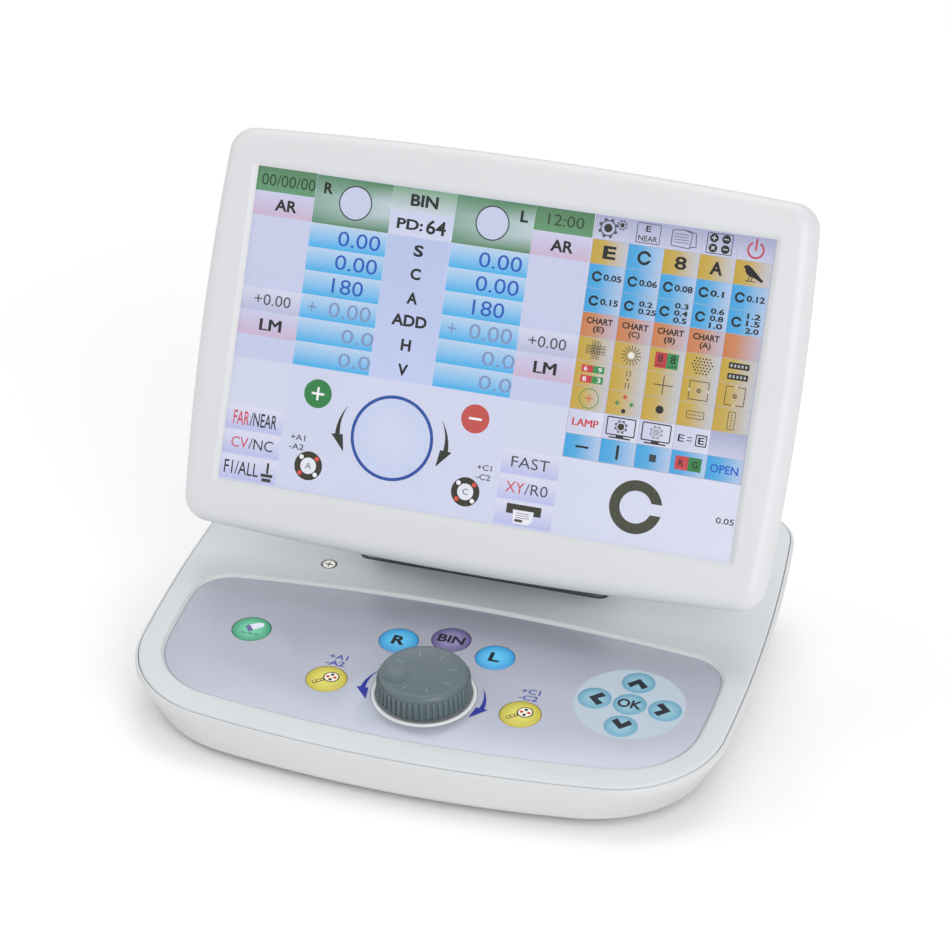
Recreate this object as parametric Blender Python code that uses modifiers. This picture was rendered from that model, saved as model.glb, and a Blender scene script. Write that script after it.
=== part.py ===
"""Refraction console: the operator's desk unit of a digital phoropter.

A wedge-shaped base carries a keypad with eleven short-travel keys and a rotary dial. Behind the
keypad a friction hinge carries a tilting touch screen. Metres, +Z up, +Y to the rear, the user at -Y.
The origin is on the table, under the middle of the object's bounding box.
"""

import math

import bmesh
import bpy
from mathutils import Matrix, Vector

MM = 0.001

# ---------------------------------------------------------------- driving dimensions
GAP = 0.3 * MM                      # clearance between neighbouring pieces

# the console's top plane: u to the right, v up the slope, n out of the keypad film
SLOPE = math.radians(7.0)
FOOT_HEIGHT = 2.6 * MM              # floor of the housing above the table
KNOB_HEIGHT = 23.35 * MM            # keypad film above the table, at the knob's axis
KNOB_BEHIND_ORIGIN = -59.65 * MM    # the knob's axis, measured along Y from the origin

# outlines: half width, side radius and its centre, front edge, its radius, front corner,
# rear edge, its radius, rear corner
SEAM = dict(half=123.4 * MM, side_r=780 * MM, side_at=55 * MM, front=-43.9 * MM, front_r=560 * MM,
            front_corner=46 * MM, rear=163.5 * MM, rear_r=3000 * MM, rear_corner=20 * MM)
FLOOR = dict(half=116.5 * MM, side_r=700 * MM, side_at=58 * MM, front=-44.4 * MM, front_r=437 * MM,
             front_corner=51 * MM, rear=157 * MM, rear_r=3000 * MM, rear_corner=27 * MM)
FILM = dict(half=112.5 * MM, side_r=330 * MM, side_at=34 * MM, front=-30.6 * MM, front_r=570 * MM,
            front_corner=32 * MM, rear=59.3 * MM, rear_r=800 * MM, rear_corner=16 * MM)
SCREEN = dict(half=125.7 * MM, side_r=1110 * MM, side_at=62 * MM, front=-22.5 * MM,
              front_r=1910 * MM, front_corner=11 * MM, rear=148.7 * MM, rear_r=2010 * MM,
              rear_corner=11 * MM)
OUTLINE_STEPS = (4, 6, 4, 5, 3)     # points on: front edge, front corner, side, rear corner, rear

# base
WALL = 2.5 * MM
RIM_OUTSET = 1.5 * MM               # the housing's rim stands this far outside the cover's seam
COVER_TOP = 1.2 * MM                # cover surface above the keypad film
COVER_UNDERSIDE = -2.8 * MM
COVER_REAR_UNDERSIDE = -1.3 * MM
SKIRT_BOTTOM = -3.5 * MM
FILM_THICKNESS = 0.8 * MM
RECESS_FLOOR = -FILM_THICKNESS - GAP

# dial
KNOB_RADIUS = 19.3 * MM
KNOB_TOP_RADIUS = 18.0 * MM
KNOB_TOP = 11.4 * MM
KNOB_RIBS = 30
FINGER_DIMPLE_AT = 204.0            # degrees round the dial from +X
RING_OUTER = 21.2 * MM
RING_INNER = 20.0 * MM
ENCODER_SHAFT_RADIUS = 3.0 * MM

# keys: name, place on the panel, cap radius
ROUND_KEY = 8.05 * MM
SMALL_KEY = 7.0 * MM
NAV_CENTRE = (80.45 * MM, 16.5 * MM)
NAV_PITCH = 14.4 * MM
KEYS = {
    "key_right_eye": (-20.5 * MM, 30.7 * MM, ROUND_KEY),
    "key_both_eyes": (0.0, 37.2 * MM, ROUND_KEY),
    "key_left_eye": (20.5 * MM, 30.7 * MM, ROUND_KEY),
    "key_cross_cylinder_left": (-40.5 * MM, -1.8 * MM, 8.3 * MM),
    "key_cross_cylinder_right": (40.5 * MM, -1.8 * MM, 8.3 * MM),
    "key_erase": (-80.85 * MM, 21.1 * MM, ROUND_KEY),
    "key_ok": (NAV_CENTRE[0], NAV_CENTRE[1], SMALL_KEY),
    "key_up": (NAV_CENTRE[0], NAV_CENTRE[1] + NAV_PITCH, SMALL_KEY),
    "key_down": (NAV_CENTRE[0], NAV_CENTRE[1] - NAV_PITCH, SMALL_KEY),
    "key_back": (NAV_CENTRE[0] - NAV_PITCH, NAV_CENTRE[1], SMALL_KEY),
    "key_forward": (NAV_CENTRE[0] + NAV_PITCH, NAV_CENTRE[1], SMALL_KEY),
}
KEY_CROWN = 0.35 * MM
KEY_BOTTOM = -0.55 * MM
STEM_RADIUS = 3.0 * MM
STEM_BOTTOM = -2.5 * MM

# screen: x to the right, y up the glass from the picture's lower edge, z out of the glass
SCREEN_FOOT = (62.7 * MM, 42.7 * MM)        # picture's lower edge on the panel: v, n
SCREEN_ANGLE = math.radians(60.8)           # glass above the panel plane
PICTURE = (217.0 * MM, 130.2 * MM)
GLASS_MARGIN = 5.9 * MM
GLASS_THICKNESS = 1.1 * MM
BEZEL_FRONT = 1.8 * MM
PARTING = -8.0 * MM
BACK = -26.0 * MM
VENTS = 9
VENT_PITCH = 9.0 * MM

# tilt hinge, in screen coordinates and along x
AXIS_Y = 0.0
AXIS_Z = -42.0 * MM
SHAFT_RADIUS = 4.0 * MM
KNUCKLE_RADIUS = 9.0 * MM
NECK_HALF = 27.4 * MM
TOWER_INNER = 27.8 * MM
TOWER_OUTER = 50.0 * MM
SLOT = dict(half=53.0 * MM, front=81.5 * MM, rear=121.0 * MM, corner=4.0 * MM)

# fasteners
SCREW_HEAD = 3.2 * MM
SCREW_SHANK = 1.5 * MM
SHANK_HOLE = 1.9 * MM
COVER_SCREW_AT = (-64.6 * MM, 71.9 * MM)
BASE_SCREWS = {"front_left": (-94.0 * MM, -13.0 * MM), "front_right": (94.0 * MM, -13.0 * MM),
               "rear_left": (-98.0 * MM, 138.0 * MM), "rear_right": (98.0 * MM, 138.0 * MM)}
FEET = {"front_left": (-76.0 * MM, -21.0 * MM), "front_right": (76.0 * MM, -21.0 * MM),
        "rear_left": (-84.0 * MM, 138.0 * MM), "rear_right": (84.0 * MM, 138.0 * MM)}
FOOT_RADIUS = 7.5 * MM
CASE_SCREWS = {"lower_left": (-80.0 * MM, -12.4 * MM), "lower_right": (80.0 * MM, -12.4 * MM),
               "upper_left": (-80.0 * MM, 139.5 * MM), "upper_right": (80.0 * MM, 139.5 * MM)}
CASE_SCREW_TOP = -19.8 * MM         # head's outer face, behind the glass
NECK_SCREWS = {"lower_left": (-19.0 * MM, 14.0 * MM), "lower_right": (19.0 * MM, 14.0 * MM),
               "upper_left": (-19.0 * MM, 27.0 * MM), "upper_right": (19.0 * MM, 27.0 * MM)}

# connectors at the rear, on a plate let into the rear wall
PLATE_HALF = (40.0 * MM, 10.0 * MM)
PLATE_HEIGHT = 22.0 * MM
PLATE_BACK = 154.6 * MM
PLATE_LEAN = math.radians(-9.5)
POWER_SOCKET_X = 28.0 * MM
HEAD_SOCKET_X = 2.0 * MM
DATA_SOCKET_X = -25.0 * MM


# ---------------------------------------------------------------- scene and materials
for thing in list(bpy.data.objects):
    bpy.data.objects.remove(thing, do_unlink=True)

console = bpy.data.collections.new("refraction_console")
cutters = bpy.data.collections.new("cutters")
bpy.context.scene.collection.children.link(console)
bpy.context.scene.collection.children.link(cutters)


def finish(colour, roughness, metallic=0.0, alpha=1.0):
    return dict(colour=colour, roughness=roughness, metallic=metallic, alpha=alpha)


WHITE = finish((0.80, 0.81, 0.82), 0.45)
GREY_COVER = finish((0.64, 0.67, 0.69), 0.45)
SILVER_FILM = finish((0.44, 0.47, 0.54), 0.35, 0.2)
SLATE = finish((0.05, 0.065, 0.08), 0.5)
KNOB_GREY = finish((0.14, 0.19, 0.21), 0.5)
STEEL = finish((0.62, 0.62, 0.64), 0.3, 1.0)
BRASS = finish((0.7, 0.55, 0.3), 0.35, 1.0)
BOARD_GREEN = finish((0.03, 0.22, 0.09), 0.5)
POLYESTER = finish((0.75, 0.75, 0.7), 0.4)
RUBBER = finish((0.03, 0.03, 0.03), 0.85)
BLACK = finish((0.02, 0.02, 0.022), 0.45)
GLASS = finish((0.75, 0.78, 0.90), 0.08, 0.0, 0.4)
LCD = finish((0.55, 0.58, 0.80), 0.2)
SKY = finish((0.16, 0.55, 0.85), 0.4)
PURPLE = finish((0.20, 0.14, 0.36), 0.4)
YELLOW = finish((0.85, 0.72, 0.12), 0.4)
GREEN = finish((0.06, 0.50, 0.28), 0.4)
TEAL = finish((0.28, 0.60, 0.70), 0.4)


def add(name, mesh, look, parent=None, location=(0, 0, 0), rotation=(0, 0, 0)):
    """Puts a finished mesh in the console's collection as one named piece."""
    piece = bpy.data.objects.new(name, mesh)
    console.objects.link(piece)
    material = bpy.data.materials.new(name)
    material.use_nodes = True
    shader = material.node_tree.nodes["Principled BSDF"]
    shader.inputs["Base Color"].default_value = (*look["colour"], 1.0)
    shader.inputs["Roughness"].default_value = look["roughness"]
    shader.inputs["Metallic"].default_value = look["metallic"]
    shader.inputs["Alpha"].default_value = look["alpha"]
    piece.data.materials.append(material)
    piece.parent = parent
    piece.location = location
    piece.rotation_euler = rotation
    return piece


def tool(mesh, parent=None, location=(0, 0, 0), rotation=(0, 0, 0)):
    """A cutter, or a lump to be joined: never a piece of its own."""
    helper = bpy.data.objects.new("tool", mesh)
    cutters.objects.link(helper)
    helper.parent = parent
    helper.location = location
    helper.rotation_euler = rotation
    helper.hide_render = True
    helper.display_type = "WIRE"
    return helper


def boolean(piece, helper, operation):
    step = piece.modifiers.new(operation.lower(), "BOOLEAN")
    step.operation = operation
    step.solver = "EXACT"
    step.object = helper


def cut(piece, helper):
    boolean(piece, helper, "DIFFERENCE")


def join(piece, helper):
    boolean(piece, helper, "UNION")


def axis_empty(name, location=(0, 0, 0), rotation=(0, 0, 0), parent=None):
    empty = bpy.data.objects.new(name, None)
    console.objects.link(empty)
    empty.parent = parent
    empty.location = location
    empty.rotation_euler = rotation
    return empty


# ---------------------------------------------------------------- shapes
def meet(centre_a, radius_a, centre_b, radius_b):
    """Where two circles cross, on the side that the outline needs."""
    dx = centre_b[0] - centre_a[0]
    dy = centre_b[1] - centre_a[1]
    apart = math.hypot(dx, dy)
    along = (apart ** 2 + radius_a ** 2 - radius_b ** 2) / (2 * apart)
    aside = math.sqrt(max(0.0, radius_a ** 2 - along ** 2))
    return (centre_a[0] + (along * dx - aside * dy) / apart,
            centre_a[1] + (along * dy + aside * dx) / apart)


def touch(centre, radius, small):
    """The point of a big circle that faces the centre of a corner circle."""
    dx = small[0] - centre[0]
    dy = small[1] - centre[1]
    apart = math.hypot(dx, dy)
    return (centre[0] + radius * dx / apart, centre[1] + radius * dy / apart)


def arc(centre, radius, start, end, steps):
    """Points after start, up to and with end, anticlockwise."""
    first = math.atan2(start[1] - centre[1], start[0] - centre[0])
    last = math.atan2(end[1] - centre[1], end[0] - centre[0])
    if last < first:
        last += 2 * math.pi
    points = []
    for i in range(1, steps + 1):
        turn = first + (last - first) * i / steps
        points.append((centre[0] + radius * math.cos(turn), centre[1] + radius * math.sin(turn)))
    return points


def outline(shape, inset=0.0, least_corner=3.0 * MM):
    """Four crowned edges with rounded corners, as one closed anticlockwise loop."""
    front_centre = (0.0, shape["front"] + shape["front_r"])
    side_centre = (shape["half"] - shape["side_r"], shape["side_at"])
    rear_centre = (0.0, shape["rear"] - shape["rear_r"])
    front_r = shape["front_r"] - inset
    side_r = shape["side_r"] - inset
    rear_r = shape["rear_r"] - inset
    front_corner = max(shape["front_corner"] - inset, least_corner)
    rear_corner = max(shape["rear_corner"] - inset, least_corner)
    corner_a = meet(front_centre, front_r - front_corner, side_centre, side_r - front_corner)
    corner_b = meet(side_centre, side_r - rear_corner, rear_centre, rear_r - rear_corner)
    front_mid = (0.0, front_centre[1] - front_r)
    front_end = touch(front_centre, front_r, corner_a)
    side_start = touch(side_centre, side_r, corner_a)
    side_end = touch(side_centre, side_r, corner_b)
    rear_start = touch(rear_centre, rear_r, corner_b)
    rear_mid = (0.0, rear_centre[1] + rear_r)
    half = [front_mid]
    half += arc(front_centre, front_r, front_mid, front_end, OUTLINE_STEPS[0])
    half += arc(corner_a, front_corner, front_end, side_start, OUTLINE_STEPS[1])
    half += arc(side_centre, side_r, side_start, side_end, OUTLINE_STEPS[2])
    half += arc(corner_b, rear_corner, side_end, rear_start, OUTLINE_STEPS[3])
    half += arc(rear_centre, rear_r, rear_start, rear_mid, OUTLINE_STEPS[4])
    return half + [(-x, y) for x, y in reversed(half[1:-1])]


def rectangle(half_width, low, high, corner):
    """A nearly square-cornered window with as many points as the other outlines."""
    flat = 60.0
    middle = (low + high) / 2
    return dict(half=half_width, side_r=flat, side_at=middle, front=low, front_r=flat,
                front_corner=corner, rear=high, rear_r=flat, rear_corner=corner)


def ring_at(points, height):
    return [Vector((x, y, height)) for x, y in points]


def loft(name, rings, closed=False):
    """Joins loops of equal length; the ends are capped, or joined to each other."""
    mesh = bpy.data.meshes.new(name)
    build = bmesh.new()
    loops = [[build.verts.new(point) for point in ring] for ring in rings]
    pairs = list(zip(loops, loops[1:]))
    if closed:
        pairs.append((loops[-1], loops[0]))
    for lower, upper in pairs:
        count = len(lower)
        for i in range(count):
            after = (i + 1) % count
            build.faces.new((lower[i], lower[after], upper[after], upper[i]))
    if not closed:
        build.faces.new(list(reversed(loops[0])))
        build.faces.new(loops[-1])
    bmesh.ops.recalc_face_normals(build, faces=build.faces)
    build.to_mesh(mesh)
    build.free()
    mesh.shade_smooth()
    mesh.set_sharp_from_angle(angle=math.radians(35))
    return mesh


def slab(name, points, low, high):
    return loft(name, [ring_at(points, low), ring_at(points, high)])


def rounded_box_points(half_x, low_y, high_y, corner, steps=4):
    """A rectangle with round corners, anticlockwise."""
    points = []
    corners = ((half_x - corner, high_y - corner, 0), (-half_x + corner, high_y - corner, 90),
               (-half_x + corner, low_y + corner, 180), (half_x - corner, low_y + corner, 270))
    for x, y, start in corners:
        for i in range(steps + 1):
            turn = math.radians(start + 90 * i / steps)
            points.append((x + corner * math.cos(turn), y + corner * math.sin(turn)))
    return points


def box(name, x, y, z, bevel=0.0):
    """A block between two limits on each axis, with small bevels where they show."""
    mesh = bpy.data.meshes.new(name)
    build = bmesh.new()
    size = (x[1] - x[0], y[1] - y[0], z[1] - z[0])
    middle = ((x[0] + x[1]) / 2, (y[0] + y[1]) / 2, (z[0] + z[1]) / 2)
    place = Matrix.Translation(middle) @ Matrix.Diagonal((*size, 1.0))
    bmesh.ops.create_cube(build, size=1.0, matrix=place)
    if bevel:
        bmesh.ops.bevel(build, geom=build.edges, offset=bevel, segments=2, profile=0.5,
                        affect="EDGES")
    build.to_mesh(mesh)
    build.free()
    return mesh


def rod(name, radius, low, high, at=(0.0, 0.0), sides=24, axis="Z"):
    """A plain round bar along Z, or along X with `at` as its y and z."""
    mesh = bpy.data.meshes.new(name)
    build = bmesh.new()
    bmesh.ops.create_cone(build, cap_ends=True, segments=sides, radius1=radius, radius2=radius,
                          depth=high - low)
    middle = (low + high) / 2
    if axis == "Z":
        place = Matrix.Translation((at[0], at[1], middle))
    else:
        place = Matrix.Translation((middle, at[0], at[1])) @ Matrix.Rotation(math.pi / 2, 4, "Y")
    bmesh.ops.transform(build, matrix=place, verts=build.verts)
    build.to_mesh(mesh)
    build.free()
    return mesh


def turned(piece_name, profile, look, parent=None, location=(0, 0, 0), rotation=(0, 0, 0), sides=20):
    """A turned piece: its profile, from the top of the axis down to the bottom, is screwed round Z."""
    mesh = bpy.data.meshes.new(piece_name)
    build = bmesh.new()
    points = [build.verts.new((radius, 0.0, height)) for radius, height in profile]
    for a, b in zip(points, points[1:]):
        build.edges.new((a, b))
    if profile[0][0] > 0:
        build.edges.new((points[-1], points[0]))
    build.to_mesh(mesh)
    build.free()
    piece = add(piece_name, mesh, look, parent, location, rotation)
    turn = piece.modifiers.new("turn", "SCREW")
    turn.axis = "Z"
    turn.angle = 2 * math.pi
    turn.steps = sides
    turn.render_steps = sides
    turn.use_merge_vertices = True
    turn.merge_threshold = 0.00001
    turn.use_smooth_shade = True
    return piece


def prism(name, points, low, high):
    """A (y, z) outline drawn out along X."""
    return loft(name, [[Vector((x, y, z)) for y, z in points] for x in (low, high)])


# ---------------------------------------------------------------- frames that the pieces hang on
panel = axis_empty("panel_plane", (0, KNOB_BEHIND_ORIGIN, KNOB_HEIGHT), (SLOPE, 0, 0))
floor = axis_empty("table_plane", (0, KNOB_BEHIND_ORIGIN, 0))


def from_screen(y, z):
    """Screen coordinates to the panel plane's v and n."""
    v = SCREEN_FOOT[0] + y * math.cos(SCREEN_ANGLE) - z * math.sin(SCREEN_ANGLE)
    n = SCREEN_FOOT[1] + y * math.sin(SCREEN_ANGLE) + z * math.cos(SCREEN_ANGLE)
    return v, n


AXIS_V, AXIS_N = from_screen(AXIS_Y, AXIS_Z)
tilt_axis = axis_empty("screen_tilt_axis", (0, AXIS_V, AXIS_N), (SCREEN_ANGLE, 0, 0), panel)
screen = axis_empty("screen_plane", (0, -AXIS_Y, -AXIS_Z), (0, 0, 0), tilt_axis)


def on_table(points, height):
    return ring_at(points, height)


def on_slope(points, n):
    """A ring of the panel plane, in the table plane's coordinates."""
    ring = []
    for u, v in points:
        y = v * math.cos(SLOPE) - n * math.sin(SLOPE)
        z = KNOB_HEIGHT + v * math.sin(SLOPE) + n * math.cos(SLOPE)
        ring.append(Vector((u, y, z)))
    return ring


# ---------------------------------------------------------------- base: lower housing
def make_bottom_housing():
    outer = FOOT_HEIGHT
    inner = FOOT_HEIGHT + WALL
    ledge = SKIRT_BOTTOM - GAP
    rings = [
        on_table(outline(FLOOR, 3.0 * MM), outer),
        on_table(outline(FLOOR, 0.9 * MM), outer + 0.6 * MM),
        on_table(outline(FLOOR, 0.0), outer + 2.6 * MM),
        on_slope(outline(SEAM, -RIM_OUTSET), -2.6 * MM),
        on_slope(outline(SEAM, -1.35 * MM), -1.1 * MM),
        on_slope(outline(SEAM, -0.9 * MM), 0.0),
        on_slope(outline(SEAM, -GAP / 2), 0.3 * MM),
        on_slope(outline(SEAM, -GAP / 2), ledge),
        on_slope(outline(SEAM, 1.8 * MM), ledge),
        on_table(outline(FLOOR, 2.9 * MM), inner + 2.4 * MM),
        on_table(outline(FLOOR, 5.2 * MM), inner),
    ]
    piece = add("bottom_housing", loft("bottom_housing", rings), WHITE, floor)
    for x, y in ((-70, 88), (70, 88), (-70, 138), (70, 138)):
        post = rod("post", 3.2 * MM, inner - 1.0 * MM, inner + 4.0 * MM, (x * MM, y * MM), 12)
        join(piece, tool(post, floor))
    post_top = KNOB_HEIGHT + COVER_SCREW_AT[1] * math.sin(SLOPE) + COVER_REAR_UNDERSIDE - 1.6 * MM
    post = rod("post", 4.0 * MM, inner - 1.0 * MM, post_top, COVER_SCREW_AT, 16)
    join(piece, tool(post, floor))
    bore = rod("bore", SHANK_HOLE, -8.5 * MM, 5 * MM, (0, 0), 12)
    cut(piece, tool(bore, panel, (COVER_SCREW_AT[0], COVER_SCREW_AT[1], 0)))
    for x, y in BASE_SCREWS.values():
        head = rod("head", SCREW_HEAD + 0.4 * MM, -5 * MM, outer + 1.5 * MM, (x, y), 16)
        hole = rod("hole", SHANK_HOLE, -5 * MM, inner + 5 * MM, (x, y), 12)
        cut(piece, tool(head, floor))
        cut(piece, tool(hole, floor))
    niche = box("niche", (-PLATE_HALF[0] + 2 * MM, PLATE_HALF[0] - 2 * MM), (140 * MM, 180 * MM),
                (PLATE_HEIGHT - PLATE_HALF[1] + 2 * MM, PLATE_HEIGHT + PLATE_HALF[1] - 2 * MM))
    cut(piece, tool(niche, floor))


# ---------------------------------------------------------------- base: upper cover
def make_top_cover():
    rings = [
        ring_at(outline(SEAM, 3.2 * MM), COVER_UNDERSIDE),
        ring_at(outline(SEAM, 2.4 * MM), SKIRT_BOTTOM),
        ring_at(outline(SEAM, GAP / 2), SKIRT_BOTTOM),
        ring_at(outline(SEAM, GAP / 2), 0.4 * MM),
        ring_at(outline(SEAM, 0.5 * MM), 0.95 * MM),
        ring_at(outline(SEAM, 1.4 * MM), COVER_TOP),
    ]
    piece = add("top_cover", loft("top_cover", rings), GREY_COVER, panel)
    for x, y in BASE_SCREWS.values():
        v = y / math.cos(SLOPE)
        under = (COVER_UNDERSIDE + RECESS_FLOOR) / 2 if y < 0 else COVER_REAR_UNDERSIDE + 1.2 * MM
        top = KNOB_HEIGHT + v * math.sin(SLOPE) + under
        boss = rod("boss", 4.2 * MM, FOOT_HEIGHT + WALL + GAP, top, (x, y), 16)
        join(piece, tool(boss, floor))
    hollow = slab("hollow", rounded_box_points(100 * MM, 66 * MM, 155 * MM, 12 * MM),
                  SKIRT_BOTTOM - 1 * MM, COVER_REAR_UNDERSIDE)
    hollow_tool = tool(hollow, panel)
    for x, y in (BASE_SCREWS["rear_left"], BASE_SCREWS["rear_right"]):
        around_boss = box("around_boss", (x - 8 * MM, x + 8 * MM), (y - 8 * MM, y + 20 * MM),
                          (-8 * MM, 2 * MM))
        cut(hollow_tool, tool(around_boss, panel))
    cut(piece, hollow_tool)
    recess = [
        ring_at(outline(FILM, -GAP), RECESS_FLOOR),
        ring_at(outline(FILM, -GAP), 0.0),
        ring_at(outline(FILM, -GAP - COVER_TOP), COVER_TOP),
        ring_at(outline(FILM, -GAP - COVER_TOP), COVER_TOP + 3 * MM),
    ]
    cut(piece, tool(loft("recess", recess), panel))
    slot = rounded_box_points(SLOT["half"], SLOT["front"], SLOT["rear"], SLOT["corner"])
    cut(piece, tool(slab("slot", slot, -10 * MM, 10 * MM), panel))
    cut(piece, tool(rod("encoder_hole", 5.0 * MM, -8 * MM, 3 * MM), panel))
    for u, v, radius in KEYS.values():
        stem_hole = rod("stem_hole", STEM_RADIUS + GAP, -8 * MM, 3 * MM, (0, 0), 12)
        cut(piece, tool(stem_hole, panel, (u, v, 0)))
    pocket = rod("pocket", SCREW_HEAD + 0.35 * MM, COVER_TOP - 1.8 * MM, 4 * MM, (0, 0), 20)
    hole = rod("hole", SHANK_HOLE, -8 * MM, 4 * MM, (0, 0), 12)
    cut(piece, tool(pocket, panel, (*COVER_SCREW_AT, 0)))
    cut(piece, tool(hole, panel, (*COVER_SCREW_AT, 0)))
    for x, y in BASE_SCREWS.values():
        pilot = rod("pilot", SHANK_HOLE, -5 * MM, FOOT_HEIGHT + 11 * MM, (x, y), 12)
        cut(piece, tool(pilot, floor))


# ---------------------------------------------------------------- base: keypad layers
def key_openings(piece, extra, low, high, sides):
    for u, v, radius in KEYS.values():
        opening = rod("opening", radius + extra, low, high, (0, 0), sides)
        cut(piece, tool(opening, panel, (u, v, 0)))


def make_keypad():
    film = slab("keypad_overlay", outline(FILM), -FILM_THICKNESS, 0.0)
    overlay = add("keypad_overlay", film, SILVER_FILM, panel)
    key_openings(overlay, 0.38 * MM, -3 * MM, 3 * MM, 20)
    cut(overlay, tool(rod("dial_hole", RING_OUTER + GAP, -3 * MM, 3 * MM, (0, 0), 36), panel))
    top = COVER_UNDERSIDE - GAP
    outer = rounded_box_points(101 * MM, -7.2 * MM, 50 * MM, 6 * MM)
    sheet = add("dome_sheet", slab("dome_sheet", outer, top - 0.4 * MM, top), POLYESTER, panel)
    board_top = top - 0.4 * MM - GAP
    board = add("keypad_board", slab("keypad_board", outer, board_top - 1.6 * MM, board_top),
                BOARD_GREEN, panel)
    for layer in (sheet, board):
        window = slab("window", rounded_box_points(8.5 * MM, -8.5 * MM, 8.5 * MM, 1 * MM),
                      -15 * MM, 3 * MM)
        cut(layer, tool(window, panel))
    plug = box("plug", (-12 * MM, 12 * MM), (36 * MM, 44 * MM),
               (board_top - 6.5 * MM, board_top - 1.0 * MM))
    join(board, tool(plug, panel))


# ---------------------------------------------------------------- base: dial's fixed pieces
def make_encoder():
    ring = [(RING_INNER, 0.35 * MM), (RING_INNER + 0.4 * MM, 0.75 * MM),
            (RING_OUTER - 0.4 * MM, 0.75 * MM), (RING_OUTER, 0.35 * MM),
            (RING_OUTER, RECESS_FLOOR + GAP), (RING_INNER, RECESS_FLOOR + GAP)]
    turned("knob_ring", ring, WHITE, panel, sides=32)
    body = box("encoder_body", (-6.5 * MM, 6.5 * MM), (-6.5 * MM, 6.5 * MM),
               (COVER_UNDERSIDE - GAP - 7 * MM, COVER_UNDERSIDE - GAP))
    encoder = add("encoder_body", body, STEEL, panel)
    bushing = rod("bushing", 4.5 * MM, COVER_UNDERSIDE - 2 * MM, 3.4 * MM, (0, 0), 20)
    join(encoder, tool(bushing, panel))
    bore = rod("bore", ENCODER_SHAFT_RADIUS + GAP, COVER_UNDERSIDE - 5 * MM, 8 * MM, (0, 0), 20)
    cut(encoder, tool(bore, panel))
    nut = rod("encoder_nut", 7.0 * MM, RECESS_FLOOR + GAP, RECESS_FLOOR + GAP + 2.2 * MM, (0, 0), 6)
    piece = add("encoder_nut", nut, BRASS, panel)
    cut(piece, tool(rod("nut_bore", 4.5 * MM + GAP, -5 * MM, 8 * MM, (0, 0), 20), panel))


# ---------------------------------------------------------------- dial
def ribbed(radius, depth, count):
    """A circle of points that step in and out, one pair to a rib."""
    points = []
    for i in range(2 * count):
        turn = math.pi * i / count
        reach = radius - (depth if i % 2 else 0.0)
        points.append((reach * math.cos(turn), reach * math.sin(turn)))
    return points


def make_dial():
    low = 1.0 * MM
    rings = [
        ring_at(ribbed(3.0 * MM, 0.0, KNOB_RIBS), KNOB_TOP - 0.9 * MM),
        ring_at(ribbed(13.0 * MM, 0.0, KNOB_RIBS), KNOB_TOP - 0.4 * MM),
        ring_at(ribbed(15.6 * MM, 0.0, KNOB_RIBS), KNOB_TOP),
        ring_at(ribbed(16.4 * MM, 0.0, KNOB_RIBS), KNOB_TOP - 0.1 * MM),
        ring_at(ribbed(KNOB_TOP_RADIUS, 0.0, KNOB_RIBS), KNOB_TOP - 1.9 * MM),
        ring_at(ribbed(KNOB_TOP_RADIUS + 0.2 * MM, 0.7 * MM, KNOB_RIBS), KNOB_TOP - 2.5 * MM),
        ring_at(ribbed(KNOB_RADIUS, 0.7 * MM, KNOB_RIBS), low),
        ring_at(ribbed(16.6 * MM, 0.0, KNOB_RIBS), low),
        ring_at(ribbed(16.2 * MM, 0.0, KNOB_RIBS), 5.2 * MM),
        ring_at(ribbed(ENCODER_SHAFT_RADIUS + GAP, 0.0, KNOB_RIBS), 5.2 * MM),
        ring_at(ribbed(ENCODER_SHAFT_RADIUS + GAP, 0.0, KNOB_RIBS), 9.3 * MM),
    ]
    knob = add("dial_knob", loft("dial_knob", rings), KNOB_GREY, panel)
    mesh = bpy.data.meshes.new("finger")
    build = bmesh.new()
    bmesh.ops.create_uvsphere(build, u_segments=24, v_segments=16, radius=10.0 * MM)
    build.to_mesh(mesh)
    build.free()
    turn = math.radians(FINGER_DIMPLE_AT)
    reach = 10.3 * MM
    cut(knob, tool(mesh, panel, (reach * math.cos(turn), reach * math.sin(turn),
                                 KNOB_TOP + 8.5 * MM)))
    shaft = rod("encoder_shaft", ENCODER_SHAFT_RADIUS, COVER_UNDERSIDE - 3.5 * MM, 9.0 * MM)
    add("encoder_shaft", shaft, STEEL, panel)


# ---------------------------------------------------------------- keys
def make_keys():
    looks = {"key_right_eye": SKY, "key_left_eye": SKY, "key_both_eyes": PURPLE,
             "key_cross_cylinder_left": YELLOW, "key_cross_cylinder_right": YELLOW,
             "key_erase": GREEN}
    for name, (u, v, radius) in KEYS.items():
        profile = [(0.0, KEY_CROWN), (radius - 0.4 * MM, KEY_CROWN - 0.2 * MM),
                   (radius, -0.1 * MM), (radius, KEY_BOTTOM), (STEM_RADIUS, KEY_BOTTOM),
                   (STEM_RADIUS, STEM_BOTTOM), (0.0, STEM_BOTTOM)]
        turned(name, profile, looks.get(name, TEAL), panel, (u, v, 0), sides=18)


# ---------------------------------------------------------------- screws and feet
def screw(name, parent, location, length, rotation=(0, 0, 0), head=SCREW_HEAD, thickness=1.5 * MM):
    """A cross-head screw: its head's top is at the origin and it points down."""
    profile = [(0.0, 0.0), (head - 0.6 * MM, 0.0), (head, -0.5 * MM), (head, -thickness),
               (SCREW_SHANK, -thickness), (SCREW_SHANK, -length), (0.0, -length - 0.8 * MM)]
    piece = turned(name, profile, STEEL, parent, location, rotation, sides=12)
    for x, y in ((1.7 * MM, 0.35 * MM), (0.35 * MM, 1.7 * MM)):
        blade = box("blade", (-x, x), (-y, y), (-0.9 * MM, 1 * MM))
        cut(piece, tool(blade, parent, location, rotation))


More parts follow.
